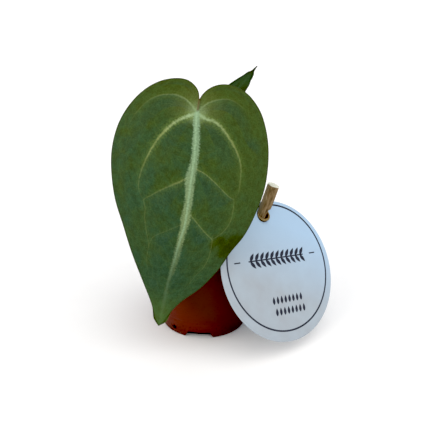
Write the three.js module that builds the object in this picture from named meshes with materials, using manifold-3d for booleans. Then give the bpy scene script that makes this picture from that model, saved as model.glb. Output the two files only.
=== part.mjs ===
// A young potted Anthurium magnificum: one large heart-shaped leaf that hangs in front of its pot, a
// younger leaf that rises behind it, a small plastic nursery pot full of bark mix, and a round card tag
// on a whittled wooden stick. Millimetres, +Z up. The origin is the centre of the pot's base, and the
// large leaf faces -Y.

import * as THREE from 'three';
import { mergeVertices } from 'three/addons/utils/BufferGeometryUtils.js';
import Module from 'manifold-3d';

const wasm = await Module();
wasm.setup();

// Fit between pieces that touch
const CLEARANCE = 0.35;

// Pot
const POT_HEIGHT = 47;
const POT_RIM_RADIUS = 27;
const POT_BASE_RADIUS = 20.5;
const POT_WALL = 1;
const POT_FLOOR = 1.4;
const POT_COLLAR_HEIGHT = 9;
const POT_COLLAR_STEP = 0.6;
const POT_EDGE_ROUND = 0.8;
const POT_SEGMENTS = 60;
const SLOT_COUNT = 4;
const SLOT_SIZE = { width: 11, depth: 5, height: 2.2 };
const SLOT_START_DEG = -96.5;
const VENT_RADIUS = 1;
const VENT_HEIGHT = 3.4;
const VENT_ANGLES_DEG = [-132, 48];

// Soil
const SOIL_LEVEL = 41;
const SOIL_LUMP = 0.8;
const SOIL_MOUND = 1.6;
const SOIL_MOUND_REACH = 9.5;
const SOIL_SEGMENTS = 40;

// Crown, roots and the dry sheaths round the crown
const CROWN_BASE = new THREE.Vector3(1.5, 3, 29);
const CROWN_TOP = new THREE.Vector3(1.5, 3.6, 47);
const CROWN_RADIUS = 6;
const ROOT_RADIUS = 1.3;
const ROOT_ANGLES_DEG = [40, 104, 168, 232, 296];
const ROOT_ROUTE = [[3, 31], [9, 25], [14.5, 16], [16, 7]];
const SHEATHS = [
  { angle: -75, spread: 62, height: 15, radius: 5 },
  { angle: 55, spread: 70, height: 12, radius: 5.1 },
  { angle: 178, spread: 58, height: 18, radius: 4.9 },
];
const SHEATH_THICKNESS = 0.8;
const SHEATH_FLARE = 1.4;
const SHEATH_FOOT = 43.6;

// Blades
const BLADE_THICKNESS = 0.9;
const HALF_WIDTH = 33;
const MIDRIB_RADIUS = 1.5;
const MIDRIB_TIP_RADIUS = 0.45;
const MIDRIB_COVER = 0.3;
const MIDRIB_START = -2;
const MIDRIB_REACH = 0.93;

// The large blade's two edges as (across, along) from the point where the petiole joins it, seen from
// the front: from the notch between the lobes round to the tip.
const LEFT_EDGE = [
  [0, -5.8], [-0.7, -8.4], [-2.4, -10.8], [-5.8, -12.8], [-10, -13], [-16.2, -11.2], [-22.2, -7],
  [-27.5, 0], [-31, 9], [-32, 20], [-30.6, 30.5], [-27.3, 42], [-22.5, 52], [-17.2, 63], [-10.6, 75.5],
  [-5.2, 86.5], [-2.5, 94.5], [-0.3, 98.8],
];
const RIGHT_EDGE = [
  [0, -5.8], [1, -8.2], [3.4, -11], [7.5, -13.2], [13, -13.8], [19.5, -11.6], [25.8, -6], [30.8, 4],
  [33.2, 14.5], [33.7, 26.5], [31.7, 38], [28.6, 48.5], [24.4, 56.5], [20.6, 65.5], [14.5, 75],
  [7.8, 82.5], [4, 89], [1.5, 96], [-0.3, 98.8],
];

const LARGE_LEAF = {
  joint: new THREE.Vector3(-1.9, -25, 109.9),
  towardTip: new THREE.Vector3(-0.182, 0, -0.983),
  facing: new THREE.Vector3(0, -1, 0),
  leanDeg: 24,
  bendDeg: 36,
  length: 95,
  archRadius: 72,
  ripple: 0.7,
  rippleLength: 46,
  acrossScale: 1,
  alongScale: 1,
  edgePoints: 38,
  rings: 9,
  petioleRadius: 1.6,
  petioleRoute: [[0.9, 1.3, 40], [0.9, 2.5, 56], [1.6, 3.4, 76], [0.9, -3, 95], [-0.8, -12.5, 103.5]],
  arrival: new THREE.Vector3(-0.05, -0.84, 0.54),
};

// The younger blade has the same edges, mirrored and narrower.
const SMALL_LEAF = {
  joint: new THREE.Vector3(-2.4, 14, 78.2),
  towardTip: new THREE.Vector3(0.47, 0.6, 0.65),
  facing: new THREE.Vector3(-0.3, -0.5, 0.81),
  leanDeg: 16,
  bendDeg: 38,
  length: 58,
  archRadius: 28,
  ripple: 0.4,
  rippleLength: 27,
  acrossScale: -0.38,
  alongScale: 0.6,
  edgePoints: 28,
  rings: 7,
  petioleRadius: 1.2,
  petioleRoute: [[2.2, 6, 40], [2.4, 8.2, 52], [1.4, 12, 64]],
  arrival: new THREE.Vector3(-0.3, -0.05, 0.95),
};

// Petioles: thin stalks with four faint edges and a swollen joint under the blade
const PETIOLE_FOOT_SWELL = 0.5;
const PETIOLE_FOOT_REACH = 9;
const PETIOLE_JOINT_SWELL = 0.55;
const PETIOLE_JOINT_REACH = 4.5;
const PETIOLE_EDGES = 0.08;

// Tag
const TAG_RADIUS = 32.4;
const TAG_THICKNESS = 0.6;
const TAG_HOLE_RADIUS = 3.5;
const TAG_HOLE_UP = 26.3;
const TAG_CENTRE = new THREE.Vector3(34.2, -16.5, 34.1);
const TAG_FACING = new THREE.Vector3(0.57, -0.65, 0.51);
const TAG_UP = new THREE.Vector3(-0.27, 0.44, 0.86);
const TAG_ARC_SEGMENTS = 36;

// Stick: round above its shoulder, and cut flat on its outer side below it, where the tag hangs. Its
// profile gives, for each distance down from the top, its radius and how far out its flat lies.
const STICK_RADIUS = 2.1;
const STICK_FLAT = 0.95;
const STICK_ABOVE_HOLE = 15.5;
const STICK_SHOULDER_ABOVE_HOLE = 4.6;
const STICK_LENGTH = 62;
const STICK_SHOULDER = 0.9;
const STICK_POINT = 7;
const STICK_SIDES = 16;
const STICK_DIRECTION = new THREE.Vector3(0.36, 0, 0.933);

function radians(degrees) {
  return degrees * Math.PI / 180;
}

function vector([x, y, z]) {
  return new THREE.Vector3(x, y, z);
}

// One closed mesh with shared vertices, no empty triangles and its faces pointing out.
function weld(geometry) {
  const bare = geometry.clone();
  bare.deleteAttribute('normal');
  bare.deleteAttribute('uv');
  const merged = mergeVertices(bare, 1e-4);
  const position = merged.getAttribute('position');
  const source = merged.getIndex().array;
  const corner = [new THREE.Vector3(), new THREE.Vector3(), new THREE.Vector3()];
  const kept = [];
  let volume = 0;
  for (let i = 0; i < source.length; i += 3) {
    const [a, b, c] = [source[i], source[i + 1], source[i + 2]];
    if (a === b || b === c || c === a) {
      continue;
    }
    kept.push([a, b, c]);
    corner.forEach((point, k) => point.fromBufferAttribute(position, [a, b, c][k]));
    volume += corner[0].dot(corner[1].cross(corner[2]));
  }
  const index = kept.flatMap(([a, b, c]) => (volume > 0 ? [a, b, c] : [a, c, b]));
  const welded = new THREE.BufferGeometry();
  welded.setAttribute('position', position.clone());
  welded.setIndex(index);
  return welded;
}

function toSolid(geometry) {
  const welded = weld(geometry);
  return new wasm.Manifold(new wasm.Mesh({
    numProp: 3,
    vertProperties: new Float32Array(welded.getAttribute('position').array),
    triVerts: new Uint32Array(welded.getIndex().array),
  }));
}

function toGeometry(solid) {
  const mesh = solid.getMesh();
  const geometry = new THREE.BufferGeometry();
  geometry.setAttribute('position', new THREE.BufferAttribute(new Float32Array(mesh.vertProperties), 3));
  geometry.setIndex(new THREE.BufferAttribute(new Uint32Array(mesh.triVerts), 1));
  geometry.computeVertexNormals();
  return geometry;
}

function union(solids) {
  return solids.reduce((joined, solid) => joined.add(solid));
}

// A closed thin sheet: a grid of faces, the same grid behind it split alike, and a border between them.
// A sheet that wraps joins its last column to its first.
function sheet(columns, rows, wraps, face, underside) {
  const positions = [];
  const index = [];
  const columnCount = wraps ? columns : columns + 1;
  for (const pointAt of [face, underside]) {
    for (let j = 0; j <= rows; j += 1) {
      for (let i = 0; i < columnCount; i += 1) {
        positions.push(...pointAt(i / columns, j / rows).toArray());
      }
    }
  }
  const behind = columnCount * (rows + 1);
  const at = (i, j) => j * columnCount + (i % columnCount);
  const addQuad = (a, b, c, d) => index.push(a, b, c, a, c, d);
  for (let j = 0; j < rows; j += 1) {
    for (let i = 0; i < columns; i += 1) {
      const [a, b, c, d] = [at(i, j), at(i + 1, j), at(i + 1, j + 1), at(i, j + 1)];
      addQuad(a, b, c, d);
      index.push(behind + a, behind + c, behind + b, behind + a, behind + d, behind + c);
    }
  }
  for (let i = 0; i < columns; i += 1) {
    addQuad(at(i + 1, 0), at(i, 0), behind + at(i, 0), behind + at(i + 1, 0));
    addQuad(at(i, rows), at(i + 1, rows), behind + at(i + 1, rows), behind + at(i, rows));
  }
  if (!wraps) {
    for (let j = 0; j < rows; j += 1) {
      addQuad(at(0, j), at(0, j + 1), behind + at(0, j + 1), behind + at(0, j));
      const last = columns;
      addQuad(at(last, j + 1), at(last, j), behind + at(last, j), behind + at(last, j + 1));
    }
  }
  const geometry = new THREE.BufferGeometry();
  geometry.setAttribute('position', new THREE.BufferAttribute(new Float32Array(positions), 3));
  geometry.setIndex(index);
  return geometry;
}

// A closed form through rings of points, with flat ends.
function loft(rings) {
  const sides = rings[0].length;
  const index = [];
  for (let j = 0; j < rings.length - 1; j += 1) {
    for (let i = 0; i < sides; i += 1) {
      const [a, b] = [j * sides + i, j * sides + (i + 1) % sides];
      index.push(a, b, b + sides, a, b + sides, a + sides);
    }
  }
  const lastRing = (rings.length - 1) * sides;
  for (let i = 1; i < sides - 1; i += 1) {
    index.push(0, i + 1, i, lastRing, lastRing + i, lastRing + i + 1);
  }
  const geometry = new THREE.BufferGeometry();
  geometry.setFromPoints(rings.flat());
  geometry.setIndex(index);
  return geometry;
}

// How far the ring at a row moves along the form where the form is grown: only the two end rings do.
function endShift(row, lastRow, grow) {
  if (row === 0) {
    return -grow;
  }
  return row === lastRow ? grow : 0;
}

// A closed tube along a curve. radiusAt(along, angle) gives its section, and grow swells it on every
// side, for the hole that the tube stands in.
function tube(curve, steps, sides, radiusAt, grow = 0) {
  const frames = curve.computeFrenetFrames(steps, false);
  const rings = frames.tangents.map((tangent, j) => {
    const centre = curve.getPointAt(j / steps).addScaledVector(tangent, endShift(j, steps, grow));
    return Array.from({ length: sides }, (_, i) => {
      const angle = 2 * Math.PI * i / sides;
      const radius = radiusAt(j / steps, angle) + grow;
      return centre.clone()
        .addScaledVector(frames.normals[j], radius * Math.cos(angle))
        .addScaledVector(frames.binormals[j], radius * Math.sin(angle));
    });
  });
  return loft(rings);
}

// Turns a profile of (radius, height) points round the Z axis.
function revolve(profile, segments) {
  const points = profile.map(([radius, height]) => new THREE.Vector2(radius, height));
  return new THREE.LatheGeometry(points, segments).rotateX(Math.PI / 2);
}

// The pot's outer radius where its wall is plain, and its inner radius, at a height.
function outerRadius(height) {
  const plainTop = POT_RIM_RADIUS - POT_COLLAR_STEP;
  return POT_BASE_RADIUS + (plainTop - POT_BASE_RADIUS) * height / POT_HEIGHT;
}

function innerRadius(height) {
  return outerRadius(height) - POT_WALL;
}

function potSolid() {
  const collarFoot = POT_HEIGHT - POT_COLLAR_HEIGHT;
  const lip = POT_EDGE_ROUND / 2;
  const body = toSolid(revolve([
    [0, 0],
    [POT_BASE_RADIUS - POT_EDGE_ROUND, 0],
    [POT_BASE_RADIUS - POT_EDGE_ROUND / 4, POT_EDGE_ROUND / 4],
    [outerRadius(POT_EDGE_ROUND), POT_EDGE_ROUND],
    [outerRadius(collarFoot), collarFoot],
    [outerRadius(collarFoot) + POT_COLLAR_STEP, collarFoot + POT_COLLAR_STEP],
    [POT_RIM_RADIUS, POT_HEIGHT - lip],
    [POT_RIM_RADIUS - lip, POT_HEIGHT],
    [innerRadius(POT_HEIGHT) + lip, POT_HEIGHT],
    [innerRadius(POT_HEIGHT), POT_HEIGHT - lip],
    [innerRadius(POT_FLOOR), POT_FLOOR],
    [0, POT_FLOOR],
  ], POT_SEGMENTS));
  const cuts = [];
  for (let i = 0; i < SLOT_COUNT; i += 1) {
    const slot = new THREE.BoxGeometry(SLOT_SIZE.depth, SLOT_SIZE.width, SLOT_SIZE.height * 2);
    slot.translate(POT_BASE_RADIUS, 0, 0);
    slot.rotateZ(radians(SLOT_START_DEG + 360 * i / SLOT_COUNT));
    cuts.push(toSolid(slot));
  }
  for (const angle of VENT_ANGLES_DEG) {
    const vent = new THREE.CylinderGeometry(VENT_RADIUS, VENT_RADIUS, POT_WALL * 6, 12);
    vent.rotateZ(Math.PI / 2);
    vent.translate(POT_BASE_RADIUS, 0, VENT_HEIGHT);
    vent.rotateZ(radians(angle));
    cuts.push(toSolid(vent));
  }
  return body.subtract(union(cuts));
}

// Lumps of the potting mix, and the low mound that it makes round the crown.
function soilLump(x, y) {
  const lumps = Math.sin(0.62 * x + 1.3) * Math.cos(0.55 * y - 0.4) + 0.6 * Math.sin(1.15 * x + 0.8 * y);
  const fromCrown = Math.hypot(x - CROWN_TOP.x, y - CROWN_TOP.y);
  return SOIL_LUMP * lumps + SOIL_MOUND * Math.exp(-((fromCrown / SOIL_MOUND_REACH) ** 2));
}

function soilSolid(holes) {
  const bottom = POT_FLOOR + CLEARANCE;
  const sideRings = 4;
  const topRings = 8;
  const edge = innerRadius(SOIL_LEVEL) - CLEARANCE;
  const profile = [[0, bottom]];
  for (let i = 0; i <= sideRings; i += 1) {
    const height = bottom + (SOIL_LEVEL - bottom) * i / sideRings;
    profile.push([innerRadius(height) - CLEARANCE, height]);
  }
  for (let i = 1; i <= topRings; i += 1) {
    profile.push([edge * (1 - i / topRings), SOIL_LEVEL]);
  }
  const geometry = revolve(profile, SOIL_SEGMENTS);
  const position = geometry.getAttribute('position');
  for (let i = 0; i < position.count; i += 1) {
    if (position.getZ(i) > SOIL_LEVEL - 0.01) {
      const [x, y] = [position.getX(i), position.getY(i)];
      const inward = Math.min(1, (edge - Math.hypot(x, y)) / 3);
      position.setZ(i, SOIL_LEVEL + inward * soilLump(x, y));
    }
  }
  return holes.reduce((soil, hole) => soil.subtract(hole), toSolid(geometry));
}

// A blade's frame: its middle line bends in one plane, from leaning forward at the joint to hanging
// back at the tip.
function bladeFrame(leaf) {
  const along = leaf.towardTip.clone().normalize();
  const face = leaf.facing.clone().addScaledVector(along, -leaf.facing.dot(along)).normalize();
  return { along, face, across: face.clone().cross(along) };
}

// The point of a blade at (across, along), raised from its upper face by lift, and the middle line's
// normal there.
function bladePoint(leaf, across, along, lift) {
  const frame = bladeFrame(leaf);
  const lean = radians(leaf.leanDeg);
  const curvature = radians(leaf.bendDeg) / leaf.length;
  const tilt = lean - curvature * along;
  const normal = frame.face.clone()
    .multiplyScalar(Math.cos(tilt))
    .addScaledVector(frame.along, -Math.sin(tilt));
  const outward = Math.abs(across / (HALF_WIDTH * leaf.acrossScale));
  const wave = Math.sin(2 * Math.PI * along / leaf.rippleLength + 2 * Math.sign(across));
  const height = leaf.ripple * outward ** 2 * wave - across ** 2 / (2 * leaf.archRadius) + lift;
  return leaf.joint.clone()
    .addScaledVector(frame.along, (Math.sin(lean) - Math.sin(tilt)) / curvature)
    .addScaledVector(frame.face, (Math.cos(tilt) - Math.cos(lean)) / curvature)
    .addScaledVector(frame.across, across)
    .addScaledVector(normal, height);
}

function bladeNormal(leaf) {
  const frame = bladeFrame(leaf);
  const lean = radians(leaf.leanDeg);
  return frame.face.clone().multiplyScalar(Math.cos(lean)).addScaledVector(frame.along, -Math.sin(lean));
}

// The blade's whole edge, from the notch down one side to the tip and up the other.
function bladeEdge(leaf) {
  const side = (points) => {
    const scaled = points.map(([across, along]) => [across * leaf.acrossScale, along * leaf.alongScale, 0]);
    const curve = new THREE.CatmullRomCurve3(scaled.map(vector), false, 'centripetal');
    return curve.getSpacedPoints(leaf.edgePoints);
  };
  return [...side(LEFT_EDGE).slice(0, -1), ...side(RIGHT_EDGE).slice(1).reverse()];
}

function midribRadius(progress) {
  return MIDRIB_RADIUS + (MIDRIB_TIP_RADIUS - MIDRIB_RADIUS) * Math.sqrt(progress);
}

// The blade with its raised midrib on the back, as one body.
function bladeSolid(leaf) {
  const edge = bladeEdge(leaf);
  const pointAt = (lift) => (u, v) => {
    const rim = edge[Math.round(u * edge.length) % edge.length];
    return bladePoint(leaf, rim.x * v, rim.y * v, lift);
  };
  const blade = sheet(edge.length, leaf.rings, true, pointAt(0), pointAt(-BLADE_THICKNESS));
  const start = MIDRIB_START * leaf.alongScale;
  const reach = MIDRIB_REACH * LEFT_EDGE.at(-1)[1] * leaf.alongScale;
  const ribPoints = [];
  for (let i = 0; i <= 8; i += 1) {
    const lift = -MIDRIB_COVER - midribRadius(i / 8);
    ribPoints.push(bladePoint(leaf, 0, start + (reach - start) * i / 8, lift));
  }
  const rib = tube(new THREE.CatmullRomCurve3(ribPoints), 12, 8, midribRadius);
  return toSolid(blade).add(toSolid(rib));
}

// The petiole's middle line. It ends just behind the midrib, and comes in along the leaf's arrival.
function petioleCurve(leaf) {
  const arrival = leaf.arrival.clone().normalize();
  const tilt = Math.sqrt(1 - arrival.dot(bladeNormal(leaf)) ** 2);
  const reach = MIDRIB_COVER + 2 * MIDRIB_RADIUS + CLEARANCE + leaf.petioleRadius * tilt;
  const end = bladePoint(leaf, 0, 0, -reach);
  const beforeEnd = end.clone().addScaledVector(arrival, -5);
  const points = [...leaf.petioleRoute.map(vector), beforeEnd, end];
  return new THREE.CatmullRomCurve3(points, false, 'centripetal');
}

function petioleSolid(leaf, grow = 0) {
  const curve = petioleCurve(leaf);
  const length = curve.getLength();
  const radiusAt = (along, angle) => {
    const fromFoot = along * length;
    const fromBlade = (1 - along) * length;
    const foot = PETIOLE_FOOT_SWELL * Math.exp(-fromFoot / PETIOLE_FOOT_REACH);
    const joint = PETIOLE_JOINT_SWELL * Math.exp(-((fromBlade / PETIOLE_JOINT_REACH - 1) ** 2));
    return (leaf.petioleRadius + foot + joint) * (1 + PETIOLE_EDGES * Math.cos(4 * angle));
  };
  return toSolid(tube(curve, Math.ceil(length / 3.6), 12, radiusAt, grow));
}

function crownRoot(angleDeg, grow) {
  const [x, y] = [Math.cos(radians(angleDeg)), Math.sin(radians(angleDeg))];
  const route = ROOT_ROUTE.map(([reach, height]) => {
    const fade = 1 - reach / ROOT_ROUTE.at(-1)[0];
    return new THREE.Vector3(CROWN_BASE.x * fade + reach * x, CROWN_BASE.y * fade + reach * y, height);
  });
  const taper = (along) => ROOT_RADIUS * (1.15 - 0.35 * along);
  return toSolid(tube(new THREE.CatmullRomCurve3(route), 7, 6, taper, grow));
}

// The stub of stem with its roots. grow swells it, for the hole that it stands in.
function stemSolid(grow = 0) {
  const curve = new THREE.LineCurve3(CROWN_BASE, CROWN_TOP);
  const radiusAt = (along) => CROWN_RADIUS * (0.85 + 0.15 * Math.sin(Math.PI * along));
  const stub = toSolid(tube(curve, 5, 12, radiusAt, grow));
  return union([stub, ...ROOT_ANGLES_DEG.map((angle) => crownRoot(angle, grow))]);
}

// A papery sheath: part of a cone round the crown that narrows to a point.
function sheathSolid({ angle, spread, height, radius }) {
  const pointAt = (outset) => (u, v) => {
    const width = radians(spread) * Math.sqrt(Math.max(0, 1 - v ** 1.6)) + 0.02;
    const turn = radians(angle) + (2 * u - 1) * width;
    const reach = radius + SHEATH_FLARE * Math.sin(1.8 * v) + outset;
    const out = new THREE.Vector3(reach * Math.cos(turn), reach * Math.sin(turn), 0);
    return out.add(new THREE.Vector3(CROWN_TOP.x, CROWN_TOP.y, SHEATH_FOOT + height * v));
  };
  return toSolid(sheet(6, 6, false, pointAt(SHEATH_THICKNESS), pointAt(0)));
}

function crownSolid() {
  const sockets = union([
    petioleSolid(LARGE_LEAF, CLEARANCE),
    petioleSolid(SMALL_LEAF, CLEARANCE),
  ]);
  return union([stemSolid(), ...SHEATHS.map(sheathSolid)]).subtract(sockets);
}

function tagBasis() {
  const facing = TAG_FACING.clone().normalize();
  const up = TAG_UP.clone().addScaledVector(facing, -TAG_UP.dot(facing)).normalize();
  return { facing, up, across: up.clone().cross(facing) };
}

function tagGeometry() {
  const card = new THREE.Shape().absarc(0, 0, TAG_RADIUS, 0, 2 * Math.PI, false);
  card.holes.push(new THREE.Path().absarc(0, TAG_HOLE_UP, TAG_HOLE_RADIUS, 0, 2 * Math.PI, true));
  const geometry = new THREE.ExtrudeGeometry(card, {
    depth: TAG_THICKNESS, bevelEnabled: false, curveSegments: TAG_ARC_SEGMENTS,
  });
  return weld(geometry);
}

// The stick. grow swells it, for the hole that it stands in.
function stickSolid(grow = 0) {
  const { up, facing } = tagBasis();
  const hole = TAG_CENTRE.clone()
    .addScaledVector(up, TAG_HOLE_UP)
    .addScaledVector(facing, TAG_THICKNESS / 2);
  const direction = STICK_DIRECTION.clone().normalize();
  const top = hole.clone().addScaledVector(direction, STICK_ABOVE_HOLE);
  const shoulderTop = STICK_ABOVE_HOLE - STICK_SHOULDER_ABOVE_HOLE;
  const profile = [
    [0, STICK_RADIUS * 0.9, STICK_RADIUS],
    [0.5, STICK_RADIUS, STICK_RADIUS],
    [shoulderTop, STICK_RADIUS, STICK_RADIUS],
    [shoulderTop + STICK_SHOULDER, STICK_RADIUS, STICK_FLAT],
    [STICK_LENGTH - STICK_POINT, STICK_RADIUS, STICK_FLAT],
    [STICK_LENGTH, STICK_RADIUS * 0.2, STICK_RADIUS * 0.2],
  ];
  const across = new THREE.Vector3(0, 1, 0).cross(direction).normalize();
  const sideways = direction.clone().cross(across);
  const rings = profile.map(([down, radius, flat], row) => {
    const centre = top.clone().addScaledVector(direction, -down - endShift(row, profile.length - 1, grow));
    return Array.from({ length: STICK_SIDES }, (_, i) => {
      const angle = 2 * Math.PI * i / STICK_SIDES;
      const outward = Math.min((radius + grow) * Math.cos(angle), flat + grow);
      return centre.clone()
        .addScaledVector(across, outward)
        .addScaledVector(sideways, (radius + grow) * Math.sin(angle));
    });
  });
  return toSolid(loft(rings));
}

const terracottaPlastic = new THREE.MeshStandardMaterial({ color: 0x7a2c10, roughness: 0.55, metalness: 0 });
const barkMix = new THREE.MeshStandardMaterial({ color: 0x33241a, roughness: 0.95, metalness: 0 });
const stemTissue = new THREE.MeshStandardMaterial({ color: 0x6b5a35, roughness: 0.8, metalness: 0 });
const petioleTissue = new THREE.MeshStandardMaterial({ color: 0x5b6b35, roughness: 0.6, metalness: 0 });
const leafTissue = new THREE.MeshStandardMaterial({ color: 0x3e542b, roughness: 0.65, metalness: 0 });
const youngLeafTissue = new THREE.MeshStandardMaterial({ color: 0x364a27, roughness: 0.6, metalness: 0 });
const whiteCard = new THREE.MeshStandardMaterial({ color: 0xe4e9ee, roughness: 0.8, metalness: 0 });
const bareWood = new THREE.MeshStandardMaterial({ color: 0x746246, roughness: 0.85, metalness: 0 });

function addMesh(group, name, geometry, material) {
  const mesh = new THREE.Mesh(geometry, material);
  mesh.name = name;
  group.add(mesh);
  return mesh;
}

const pottedPlant = new THREE.Group();

const holder = new THREE.Group();
addMesh(holder, 'pot', toGeometry(potSolid()), terracottaPlastic);
addMesh(holder, 'soil', toGeometry(soilSolid([stemSolid(CLEARANCE), stickSolid(CLEARANCE)])), barkMix);
pottedPlant.add(holder);

const plant = new THREE.Group();
addMesh(plant, 'crown', toGeometry(crownSolid()), stemTissue);
addMesh(plant, 'petiole_large', toGeometry(petioleSolid(LARGE_LEAF)), petioleTissue);
addMesh(plant, 'petiole_small', toGeometry(petioleSolid(SMALL_LEAF)), petioleTissue);
addMesh(plant, 'leaf_large', toGeometry(bladeSolid(LARGE_LEAF)), leafTissue);
addMesh(plant, 'leaf_small', toGeometry(bladeSolid(SMALL_LEAF)), youngLeafTissue);
pottedPlant.add(plant);

const label = new THREE.Group();
const tag = addMesh(label, 'tag', tagGeometry(), whiteCard);
const basis = tagBasis();
tag.quaternion.setFromRotationMatrix(new THREE.Matrix4().makeBasis(basis.across, basis.up, basis.facing));
tag.position.copy(TAG_CENTRE);
addMesh(label, 'tag_stick', toGeometry(stickSolid()), bareWood);
pottedPlant.add(label);

export default pottedPlant;
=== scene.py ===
"""Looks of a young potted Anthurium magnificum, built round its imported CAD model.

Lengths are in millimetres in the model's frame until a mesh is made. The large blade faces -Y.
"""
import math
import random
from types import SimpleNamespace

import bmesh
import bpy
import numpy as np
from mathutils import Matrix, Vector, noise


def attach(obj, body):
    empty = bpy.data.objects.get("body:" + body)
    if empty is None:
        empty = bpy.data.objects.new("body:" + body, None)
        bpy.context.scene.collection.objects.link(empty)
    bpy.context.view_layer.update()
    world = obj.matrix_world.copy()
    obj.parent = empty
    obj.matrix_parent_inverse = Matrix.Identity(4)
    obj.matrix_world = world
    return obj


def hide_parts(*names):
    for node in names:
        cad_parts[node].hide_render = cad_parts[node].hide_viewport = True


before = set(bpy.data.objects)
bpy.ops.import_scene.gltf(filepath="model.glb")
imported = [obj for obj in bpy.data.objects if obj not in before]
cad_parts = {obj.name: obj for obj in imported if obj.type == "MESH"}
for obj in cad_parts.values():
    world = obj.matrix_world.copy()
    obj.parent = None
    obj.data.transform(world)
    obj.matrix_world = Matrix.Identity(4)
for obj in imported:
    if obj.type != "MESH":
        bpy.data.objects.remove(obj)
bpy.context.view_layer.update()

# A millimetre in metres
MM = 0.001
# How near a turned form's ends come to its axis
AXIS = 0.01
GRAIN_SEED = 11
# Gap between the parts, as in the CAD model
CLEARANCE = 0.35

# Pot. The notches in its foot follow the photograph and are larger than the CAD model's.
POT_HEIGHT = 47
POT_RIM_RADIUS = 27
POT_BASE_RADIUS = 20.5
POT_WALL = 1
POT_FLOOR = 1.4
POT_COLLAR_HEIGHT = 9
POT_COLLAR_STEP = 0.6
POT_EDGE_ROUND = 0.8
POT_INNER_ROUND = 0.9
POT_LINE_HEIGHT = 8.4
POT_LINE_DEPTH = 0.07
NOTCH_COUNT = 4
NOTCH_WIDTH = 13.4
NOTCH_REACH = 8
NOTCH_HEIGHT = 3.4
NOTCH_SPLAY = 1.5
NOTCH_ROUND = 0.7
NOTCH_START_DEG = -96.5
VENT_RADIUS = 1
VENT_STRETCH = 1.35
VENT_HEIGHT = 3.4
VENT_ANGLES_DEG = [-132, 48]

# Potting mix
SOIL_LEVEL = 41
SOIL_LUMP = 0.8
SOIL_GRIT = 0.75
SOIL_MOUND = 1.6
SOIL_MOUND_REACH = 9.5
SOIL_SINKS = 0.5
SOIL_EDGE = 3
SOIL_SIDE_GRIT = 0.008
SOIL_TOP_RINGS = 50
# Painted shade on the mix low in the pot: full below the first height, gone above the second
PAINTED_SHADE_FULL_BELOW = 6
PAINTED_SHADE_GONE_ABOVE = 14
GRAINS_OFF_CROWN = 6.6
GRAINS_OFF_STICK = 2.6
TRIES_PER_GRAIN = 60
# How far from the middle of a round grain of radius 1 the planes lie that cut it
GRAIN_CUTS = (0.35, 0.8)
GRAIN_ROUGHNESS = 0.16
GRAIN_LEAN = 0.35
GRAIN_SINKS = 0.4
FIBRE_COUNT = 34
FIBRE_LENGTHS = (5, 11)
FIBRE_BENDS = (-0.9, 0.9)
FIBRE_LIFT = 0.7
FIBRE_RADII = (0.1, 0.17)
FIBRE_OVER_MIX = 0.25

# Crown, roots and sheaths
CROWN_BASE = np.array([1.5, 3, 29])
CROWN_TOP = np.array([1.5, 3.6, 47])
CROWN_RADIUS = 6
SCAR_SPACING = 4.2
SCAR_HEIGHT = 0.22
KNOB_HEIGHT = 0.45
# The stub's length up to where its top begins to round, and how high the dome is
STUB_LENGTH = 16.6
STUB_DOME = 2.25
ROOT_RADIUS = 1.3
ROOT_SHARE_AT_CROWN = 1.15
ROOT_TAPER = 0.013
ROOT_ANGLES_DEG = [40, 104, 168, 232, 296]
ROOT_ROUTE = [(3, 31), (9, 25), (14.5, 16), (16, 7)]
SHEATHS = [
    {"angle": -75, "spread": 62, "height": 15, "radius": 5},
    {"angle": 55, "spread": 70, "height": 12, "radius": 5.1},
    {"angle": 178, "spread": 58, "height": 18, "radius": 4.9},
]
SHEATH_THICKNESS = 0.35
SHEATH_GAP = 0.25
SHEATH_FLARE = 1.4
SHEATH_FOOT = 43.6
SHEATH_BURIED = 1.2
SHEATH_FRAY = 1.1
SHEATH_CREASE = 0.14
SHEATH_CURL = 0.35

# Blades: the large one's edges as (across, along) from the point where the petiole joins it
BLADE_THICKNESS = 0.7
HALF_WIDTH = 33
LEFT_EDGE = [
    (0, -5.8), (-0.7, -8.4), (-2.4, -10.8), (-5.8, -12.8), (-10, -13), (-16.2, -11.2), (-22.2, -7),
    (-27.5, 0), (-31, 9), (-32, 20), (-30.6, 30.5), (-27.3, 42), (-22.5, 52), (-17.2, 63), (-10.6, 75.5),
    (-5.2, 86.5), (-2.5, 94.5), (-0.3, 98.8),
]
RIGHT_EDGE = [
    (0, -5.8), (1, -8.2), (3.4, -11.1), (7.5, -13.5), (13, -14.2), (19.5, -12.1), (25.8, -6.3), (30.8, 4),
    (33.2, 14.5), (33.7, 26.5), (31.7, 38), (28.6, 48.5), (24.4, 56.5), (20.6, 65.5), (14.5, 75),
    (7.8, 82.5), (4, 89), (1.5, 96), (-0.3, 98.8),
]

# The rim's band has finer rings. These are how far in they lie, as shares of the band.
RIM_BAND = 1.3
RIM_RINGS = np.array([0.62, 0.34, 0.14, 0])
RIM_ROUND = 0.55
RIM_THINNEST = 0.03
# The two lobes overlap behind the joint: one is raised, the other lowered, and both reach past the middle.
LAP_HEIGHT = 0.42
LAP_REACH = 0.4
LAP_WIDTH = 2.4
SEAM_WIDTH = 0.42
# How far behind the joint the overlap, its reach and the seam between the lobes begin and are full
LAP_GROWS = (0, 3)
LAP_REACH_GROWS = (6.1, 4.2)
SEAM_GROWS = (0.2, 1.4)
# Relief near the veins, as (height or depth, half width)
FURROW = (0.22, 0.8)
TROUGH = (0.3, 2.2)
RIDGE = (0.38, 0.75)
VEIN_BELOW = (0.28, 0.55)
# A side vein that is this pale has its full furrow, and its full height on the underside
FURROW_FULL = 0.35
VEIN_BELOW_FULL = 0.3
QUILT_REACH = 5.5
QUILT_FADES = 9
RIDGE_FADES = 40
RIDGE_ENDS = 80
# The slope up the blade is taken over this step, and made stronger for the material's painted reflection of
# the sky
SLOPE_STEP = 0.6
SLOPE_GAIN = 5

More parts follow.
